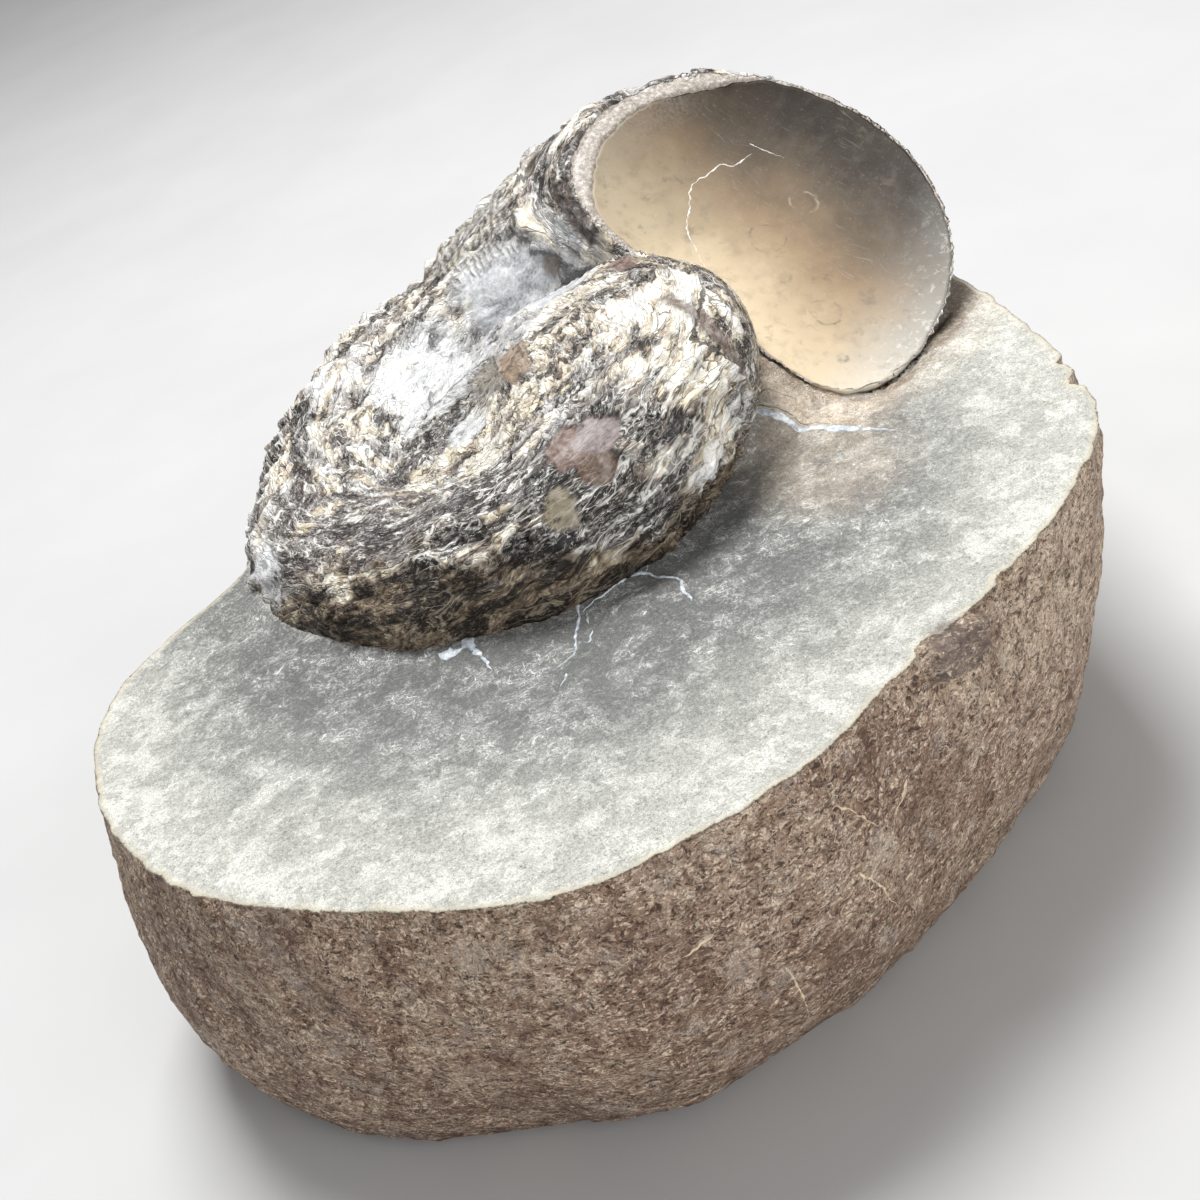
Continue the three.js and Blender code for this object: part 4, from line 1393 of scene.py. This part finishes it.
# %% Torn edges and filaments
flake_edge = fossil.larger(fossil.slope(big_edge, 0.055, 0.010), fossil.slope(small_edge, 0.060, 0.010))
bare = fossil.weigh(fossil.read("frost"), 0.6, fossil.read("pearl"))
flaky = fossil.slope(bare, 0.9, 0.1)
flake_edge = fossil.times(flake_edge, flaky)
torn_edge = fossil.larger(fossil.slope(wide_part, 0.07, 0.0), flake_edge)
torn_edge = fossil.times(torn_edge, fossil.slope(medium, 0.46, 0.56))
line_share = fossil.weigh(fossil.read("brown"), -0.45, 0.85)
line_colour = fossil.mix(fossil.read("brown"), (0.84, 0.82, 0.77), (0.60, 0.50, 0.38))
shell_look = fossil.mix(fossil.times(torn_edge, line_share), shell_look, line_colour)
# Painted shadow: a dark line just under each torn sheet edge and flake edge, as if the sheet above shaded
# it.
under_edge_painted_shadow = fossil.larger(fossil.slope(wide_part, 0.92, 1.0), flake_edge)
under_edge_painted_shadow = fossil.times(under_edge_painted_shadow, fossil.slope(medium, 0.50, 0.42))
shell_look = fossil.tint(shell_look, under_edge_painted_shadow, 0.75, (0.022, 0.016, 0.013))
hairline_noise = fossil.noise(fossil.warped(streak, 0.8, 1.8), 0.9, 4, 0.7, 0.8)
off_hairline = fossil.maths("ABSOLUTE", fossil.maths("SUBTRACT", hairline_noise, 0.5))
hairline = fossil.slope(off_hairline, 0.020, 0.0)
hairline = fossil.times(hairline, fossil.slope(fine, 0.42, 0.58))
shell_look = fossil.mix(fossil.times(hairline, line_share), shell_look, line_colour)
bruised = fossil.times(fossil.read("flake_edges"), fossil.slope(fine, 0.46, 0.60))
bruised = fossil.times(bruised, line_share)
shell_look = fossil.tint(shell_look, bruised, 0.5, line_colour)
shell_gritty = fossil.weigh(shell_grit, 1.3, 0.38)
shell_look = fossil.shade(shell_look, shell_gritty)
fossil.count("its torn edges")

# %% Pearly wall, fine ribs and windows
FINE_RIB_STEP = 2.3
along_coil = fossil.first_of(coil_spot)
rib_count = fossil.times(along_coil, 2 * math.pi / FINE_RIB_STEP)
rib_angle = fossil.weigh(fossil.noise(object_spot, 0.25, 3, 0.6), 14.0, rib_count)
fine_rib = fossil.weigh(fossil.maths("SINE", rib_angle), 0.5, 0.5)
rib_share = fossil.read("fine_ribs")
rib_look = fossil.ramp(fine_rib, (0.15, (0.14, 0.13, 0.115)), (0.6, (0.50, 0.47, 0.41)),
                       (0.9, (0.74, 0.70, 0.60)))
shell_look = fossil.tint(shell_look, rib_share, 0.45, rib_look)
pearl_tone = fossil.weigh(fine, 0.5, fossil.times(fossil.noise(object_spot, 0.35, 4, 0.6), 0.5))
pearl_look = fossil.ramp(pearl_tone, (0.36, (0.19, 0.20, 0.215)), (0.50, (0.58, 0.59, 0.61)),
                         (0.64, (0.80, 0.81, 0.82)))
shell_look = fossil.tint(shell_look, fossil.read("pearl"), 0.85, pearl_look)
window_cloud = fossil.noise(object_spot, 0.9, 5, 0.65)
window_colour = fossil.read("window_colour", "Color")
window_look = fossil.mix(fossil.slope(window_cloud, 0.40, 0.70), window_colour, (0.55, 0.50, 0.46))
window_look = fossil.mix(0.65, window_look, window_colour)
window_look = fossil.mix(fossil.slope(window_cloud, 0.44, 0.34), window_look, (0.06, 0.04, 0.032))
shell_look = fossil.mix(fossil.read("window_share"), shell_look, window_look)
lip_look = fossil.ramp(fossil.noise(object_spot, 1.5, 5, 0.8), (0.34, (0.20, 0.17, 0.145)),
                       (0.50, (0.36, 0.315, 0.275)), (0.62, (0.62, 0.58, 0.53)))
on_lip = fossil.slope(fossil.read("lip"), 0.35, 0.65)
shell_look = fossil.mix(on_lip, shell_look, lip_look)
fossil.count("its wall and windows")

# %% Put the shell together
smooth_share = fossil.larger(fossil.read("window_share"), on_lip)
shell_rough = fossil.weigh(medium, -0.5, 0.68)
shell_rough = fossil.weigh(fossil.read("window_share"), 0.06, shell_rough)
shell_height = fossil.weigh(wide_part, 0.45, fossil.times(thin_part, 0.20))
shell_height = fossil.weigh(fossil.times(big_flake, flaky), 0.55, shell_height)
shell_height = fossil.weigh(fossil.times(small_flake, flaky), 0.35, shell_height)
shell_height = fossil.weigh(flake_edge, -0.45, shell_height)
shell_height = fossil.weigh(fine, 0.25, shell_height)
shell_height = fossil.weigh(medium, 0.5, shell_height)
shell_height = fossil.times(shell_height, fossil.weigh(smooth_share, -0.95, 1.0))
shell_height = fossil.weigh(fossil.times(rib_share, fine_rib), 0.6, shell_height)
fossil.put(fossil.shader.inputs["Specular IOR Level"], 0.35)
fossil.finish(shell_look, shell_rough, shell_height, 0.45, 0.9)

# %% [markdown]
# ## The filling's finish
#
# The sediment is polished smooth. It is warm cream low down, tan in the middle and dark grey-brown
# towards the upper edge, partly its own colour and partly painted shade on the dish's upper wall, which
# faces down; it is greyer with chalky scratches on the right and dusty on the left. The two directions
# of the cut are stored on the mesh, so each change of colour is a slope across them, made uneven by
# noise. A few rings are cut through burrows that worms left in the mud.

# %% Sediment
mud = Finish("sediment_fill")
mouth_spot = mud.read("mouth_place", "Vector")
split = mud.add("SeparateXYZ", {"Vector": mouth_spot}, 0).node
cloud = mud.noise(mouth_spot, 0.09, 4, 0.55)
cloud_fine = mud.noise(mouth_spot, 0.5, 6, 0.6)
dust = mud.noise(mud.warped(mouth_spot, 0.8, 0.8), 2.2, 4, 0.7)


def sloped(x_share, y_share):
    """A mix of the two directions of the cut, in mm."""
    x = mud.times(split.outputs[0], x_share)
    y = mud.times(split.outputs[1], y_share)
    return mud.plus(mud.plus(x, y), mud.weigh(cloud, 14.0, -7.0))


# Painted shade: both colour scales below grow dark towards the upper edge of the cut, partly the sediment's
# own colour and partly shade on the dish's upper wall.
upward_for_painted_shade = sloped(0.10, 1.0)
warm = mud.ramp(mud.slope(upward_for_painted_shade, -20.0, 20.0),
                     (0.0, (0.66, 0.54, 0.37)), (0.20, (0.44, 0.34, 0.22)), (0.45, (0.29, 0.205, 0.125)),
                     (0.72, (0.125, 0.092, 0.060)), (0.95, (0.035, 0.026, 0.019)))
greyness = mud.slope(sloped(1.0, 0.25), 17.0, 36.0)
grey_look = mud.ramp(mud.slope(upward_for_painted_shade, -16.0, 12.0),
                          (0.0, (0.62, 0.61, 0.56)), (1.0, (0.29, 0.280, 0.252)))
filling_look = mud.tint(warm, greyness, 0.85, grey_look)
filling_look = mud.tint(filling_look, mud.slope(cloud_fine, 0.52, 0.30), 0.20, (0.14, 0.12, 0.10))
filling_look = mud.tint(filling_look, mud.slope(dust, 0.60, 0.72), 0.22, (0.55, 0.50, 0.43))
mud.count("its slopes")

# %% Burrows in the sediment
ring_spot = mud.warped(mouth_spot, 0.35, 1.6)
ring_gaps = mud.slope(mud.noise(mouth_spot, 0.45, 3, 0.6), 0.40, 0.60)


def burrow(look, centre, radius, thin, colour, share):
    """A broken, uneven ring of another colour round a point of the cut."""
    away = mud.add("VectorMath", {0: ring_spot, 1: (*centre, 0)}, operation="SUBTRACT")
    away = mud.scaled(away, (1, 1.15, 0))
    reach = mud.add("VectorMath", {0: away}, "Value", operation="LENGTH")
    off_ring = mud.maths("ABSOLUTE", mud.maths("SUBTRACT", reach, radius))
    off_ring = mud.plus(off_ring, mud.times(cloud_fine, thin * 1.2))
    ring = mud.times(mud.slope(off_ring, thin * 1.7, thin * 0.7), share)
    return mud.mix(mud.times(ring, ring_gaps), look, colour)


BURROWS = (
    ((4.0, -4.5), 2.8, 0.26, (0.17, 0.13, 0.09), 0.7),
    ((3.6, 4.2), 2.1, 0.34, (0.40, 0.34, 0.26), 0.6),
    ((3.6, 4.2), 1.4, 0.40, (0.12, 0.09, 0.065), 0.5),
    ((19.0, -9.1), 2.3, 0.34, (0.15, 0.13, 0.105), 0.7),
    ((26.2, -14.2), 0.6, 0.70, (0.14, 0.125, 0.105), 0.7),
    ((0.1, 18.9), 1.2, 0.9, (0.05, 0.04, 0.03), 0.8),
)
for ring in BURROWS:
    filling_look = burrow(filling_look, *ring)
mud.count("its burrows")

# %% Stains, scratches and dust on the sediment
stained = mud.noise(mud.warped(mouth_spot, 0.25, 4), 0.30, 5, 0.7)
filling_look = mud.tint(filling_look, mud.slope(stained, 0.56, 0.70), 0.35, (0.15, 0.12, 0.085))
scratch_spot = mud.scaled(mud.warped(mouth_spot, 0.1, 6), (0.25, 2.6, 1))
scratched = mud.noise(scratch_spot, 1.0, 3, 0.6)
scratched = mud.times(mud.slope(scratched, 0.58, 0.68), mud.slope(cloud, 0.42, 0.60))
filling_look = mud.tint(filling_look, scratched, 0.14, (0.55, 0.51, 0.45))
chalky = mud.noise(mud.warped(mouth_spot, 0.5, 3), 0.9, 5, 0.7)
rightward = mud.slope(sloped(1.0, 0.35), 20.0, 34.0)
chalky = mud.times(mud.slope(chalky, 0.54, 0.62), rightward)
filling_look = mud.tint(filling_look, chalky, 0.45, (0.72, 0.71, 0.66))
near_left = mud.slope(sloped(-1.0, -0.15), 16.0, 27.0)
near_left = mud.times(near_left, mud.slope(dust, 0.36, 0.62))
filling_look = mud.tint(filling_look, near_left, 0.55, (0.42, 0.39, 0.345))
leftward = mud.slope(split.outputs[0], 6.0, -14.0)
filling_look = mud.shade(filling_look, mud.weigh(leftward, -0.36, 1.0))
mud.put(mud.shader.inputs["Specular IOR Level"], 0.25)
filling_rough = mud.weigh(cloud_fine, 0.25, 0.42)
mud.finish(filling_look, filling_rough, dust, 0.06, 0.6)

# %% [markdown]
# ## Finishes of the veins, cracks and threads
#
# Calcite in the large cracks is bluish white and a little glassy, the finer lines in the filling are
# cream, the open cracks are filled with dark dirt, and the threads on the side are stained straw. Each
# is one mottled colour scale, because the ribbons are too thin to show more.

# %% Calcite and crack fill
def mottled(name, noise, roughness, relief, *stops):
    """A finish with one mottled colour scale and a fine relief."""
    made = Finish(name)
    mottle = made.noise(made.place(), *noise)
    made.finish(made.ramp(mottle, *stops), roughness, mottle, *relief)
    return made


calcite = mottled("vein_calcite", (1.1, 5, 0.65), 0.45, (0.12, 0.8),
                  (0.38, (0.30, 0.35, 0.40)), (0.52, (0.55, 0.60, 0.64)), (0.66, (0.84, 0.86, 0.87)))
gap_fill = mottled("crack_fill", (1.5, 4, 0.6), 0.8, (0.1, 0.5),
                   (0.35, (0.05, 0.045, 0.04)), (0.65, (0.18, 0.16, 0.14)))
pale_vein = mottled("pale_vein", (1.4, 4, 0.6), 0.5, (0.08, 0.5),
                    (0.38, (0.42, 0.37, 0.30)), (0.60, (0.80, 0.77, 0.72)))
straw = mottled("straw_thread", (1.2, 4, 0.6), 0.75, (0.08, 0.5),
                (0.38, (0.46, 0.34, 0.22)), (0.60, (0.82, 0.69, 0.50)))

# %% [markdown]
# ## Join the frame
#
# The real object is two things: the nodule and the ammonite. Each piece here takes the place of one of
# them, rides with the root body, because nothing moves, and gets its material.

# %% Join the frame
pieces = (
    (stone, "matrix_nodule", "limestone_matrix", rock),
    (veins, "matrix_nodule", "limestone_matrix", calcite),
    (cracks, "matrix_nodule", "limestone_matrix", gap_fill),
    (threads, "matrix_nodule", "limestone_matrix", straw),
    (shell, "ammonite", "fossil_shell", fossil),
    (filling, "ammonite", "fossil_shell", mud),
    (scratches, "ammonite", "fossil_shell", pale_vein),
)
for piece, node, slot, finish in pieces:
    piece.data.materials.append(finish.material)
    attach(piece, "root")
    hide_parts(node)
print("pieces:", [piece.name for piece, *_ in pieces])

# %% [markdown]
# ## Camera, floor and light
#
# The camera looks down on the face from the near side, and is turned a little about its own line of
# sight. The floor is a wide pale sheet. The light comes from a large soft lamp above and behind, which
# rakes over the ribs, and a weaker one at the front right, which opens the shadows, under a pale grey
# world. The stone is pale, so the view transform is Standard, which keeps whites bright.

# %% Camera
VIEW_HEIGHT = math.radians(31.0)
VIEW_DISTANCE = 230.8
VIEW_ROLL = math.radians(21.7)
VIEW_ANGLE = math.radians(36.0)

forwards = Vector((0, math.cos(VIEW_HEIGHT), -math.sin(VIEW_HEIGHT)))
target = Vector(to_frame((0, 0, 0)))
camera_data = bpy.data.cameras.new("camera")
camera_data.sensor_fit = "HORIZONTAL"
camera_data.angle = VIEW_ANGLE
camera = bpy.data.objects.new("camera", camera_data)
bpy.context.scene.collection.objects.link(camera)
camera.location = target - forwards * VIEW_DISTANCE * MM
facing = forwards.to_track_quat("-Z", "Y").to_matrix()
camera.rotation_euler = (facing @ Matrix.Rotation(-VIEW_ROLL, 3, "Z")).to_euler()
bpy.context.scene.camera = camera
print("camera at", [round(v, 4) for v in camera.location])

# %% Floor
floor_mesh = bpy.data.meshes.new("floor")
floor_mesh.from_pydata([(-6, -6, 0), (6, -6, 0), (6, 6, 0), (-6, 6, 0)], [], [(0, 1, 2, 3)])
floor = bpy.data.objects.new("floor", floor_mesh)
bpy.context.scene.collection.objects.link(floor)
floor_paint = Finish("floor_paint")
floor_cloud = floor_paint.noise(floor_paint.place(), 0.02, 3)
floor_tone = floor_paint.ramp(floor_cloud, (0.3, (0.54, 0.54, 0.54)), (0.7, (0.57, 0.57, 0.57)))
floor_mesh.materials.append(floor_paint.finish(floor_tone, 0.9))


# %% Light
def soft_lamp(name, place, size, power):
    data = bpy.data.lights.new(name, "AREA")
    data.shape = "SQUARE"
    data.size = size
    data.energy = power
    lamp = bpy.data.objects.new(name, data)
    bpy.context.scene.collection.objects.link(lamp)
    lamp.location = place
    lamp.rotation_euler = (target - Vector(place)).to_track_quat("-Z", "Y").to_euler()
    return lamp


lamps = [soft_lamp("key", (0.00, 0.24, 0.82), 0.35, 9), soft_lamp("fill", (0.45, -0.80, 0.40), 0.6, 4.5)]
world = bpy.data.worlds.new("studio")
world.use_nodes = True
world.node_tree.nodes["Background"].inputs["Color"].default_value = (1, 1, 1, 1)
world.node_tree.nodes["Background"].inputs["Strength"].default_value = 0.34
bpy.context.scene.world = world
bpy.context.scene.view_settings.view_transform = "Standard"
print("lamps:", [lamp.name for lamp in lamps])
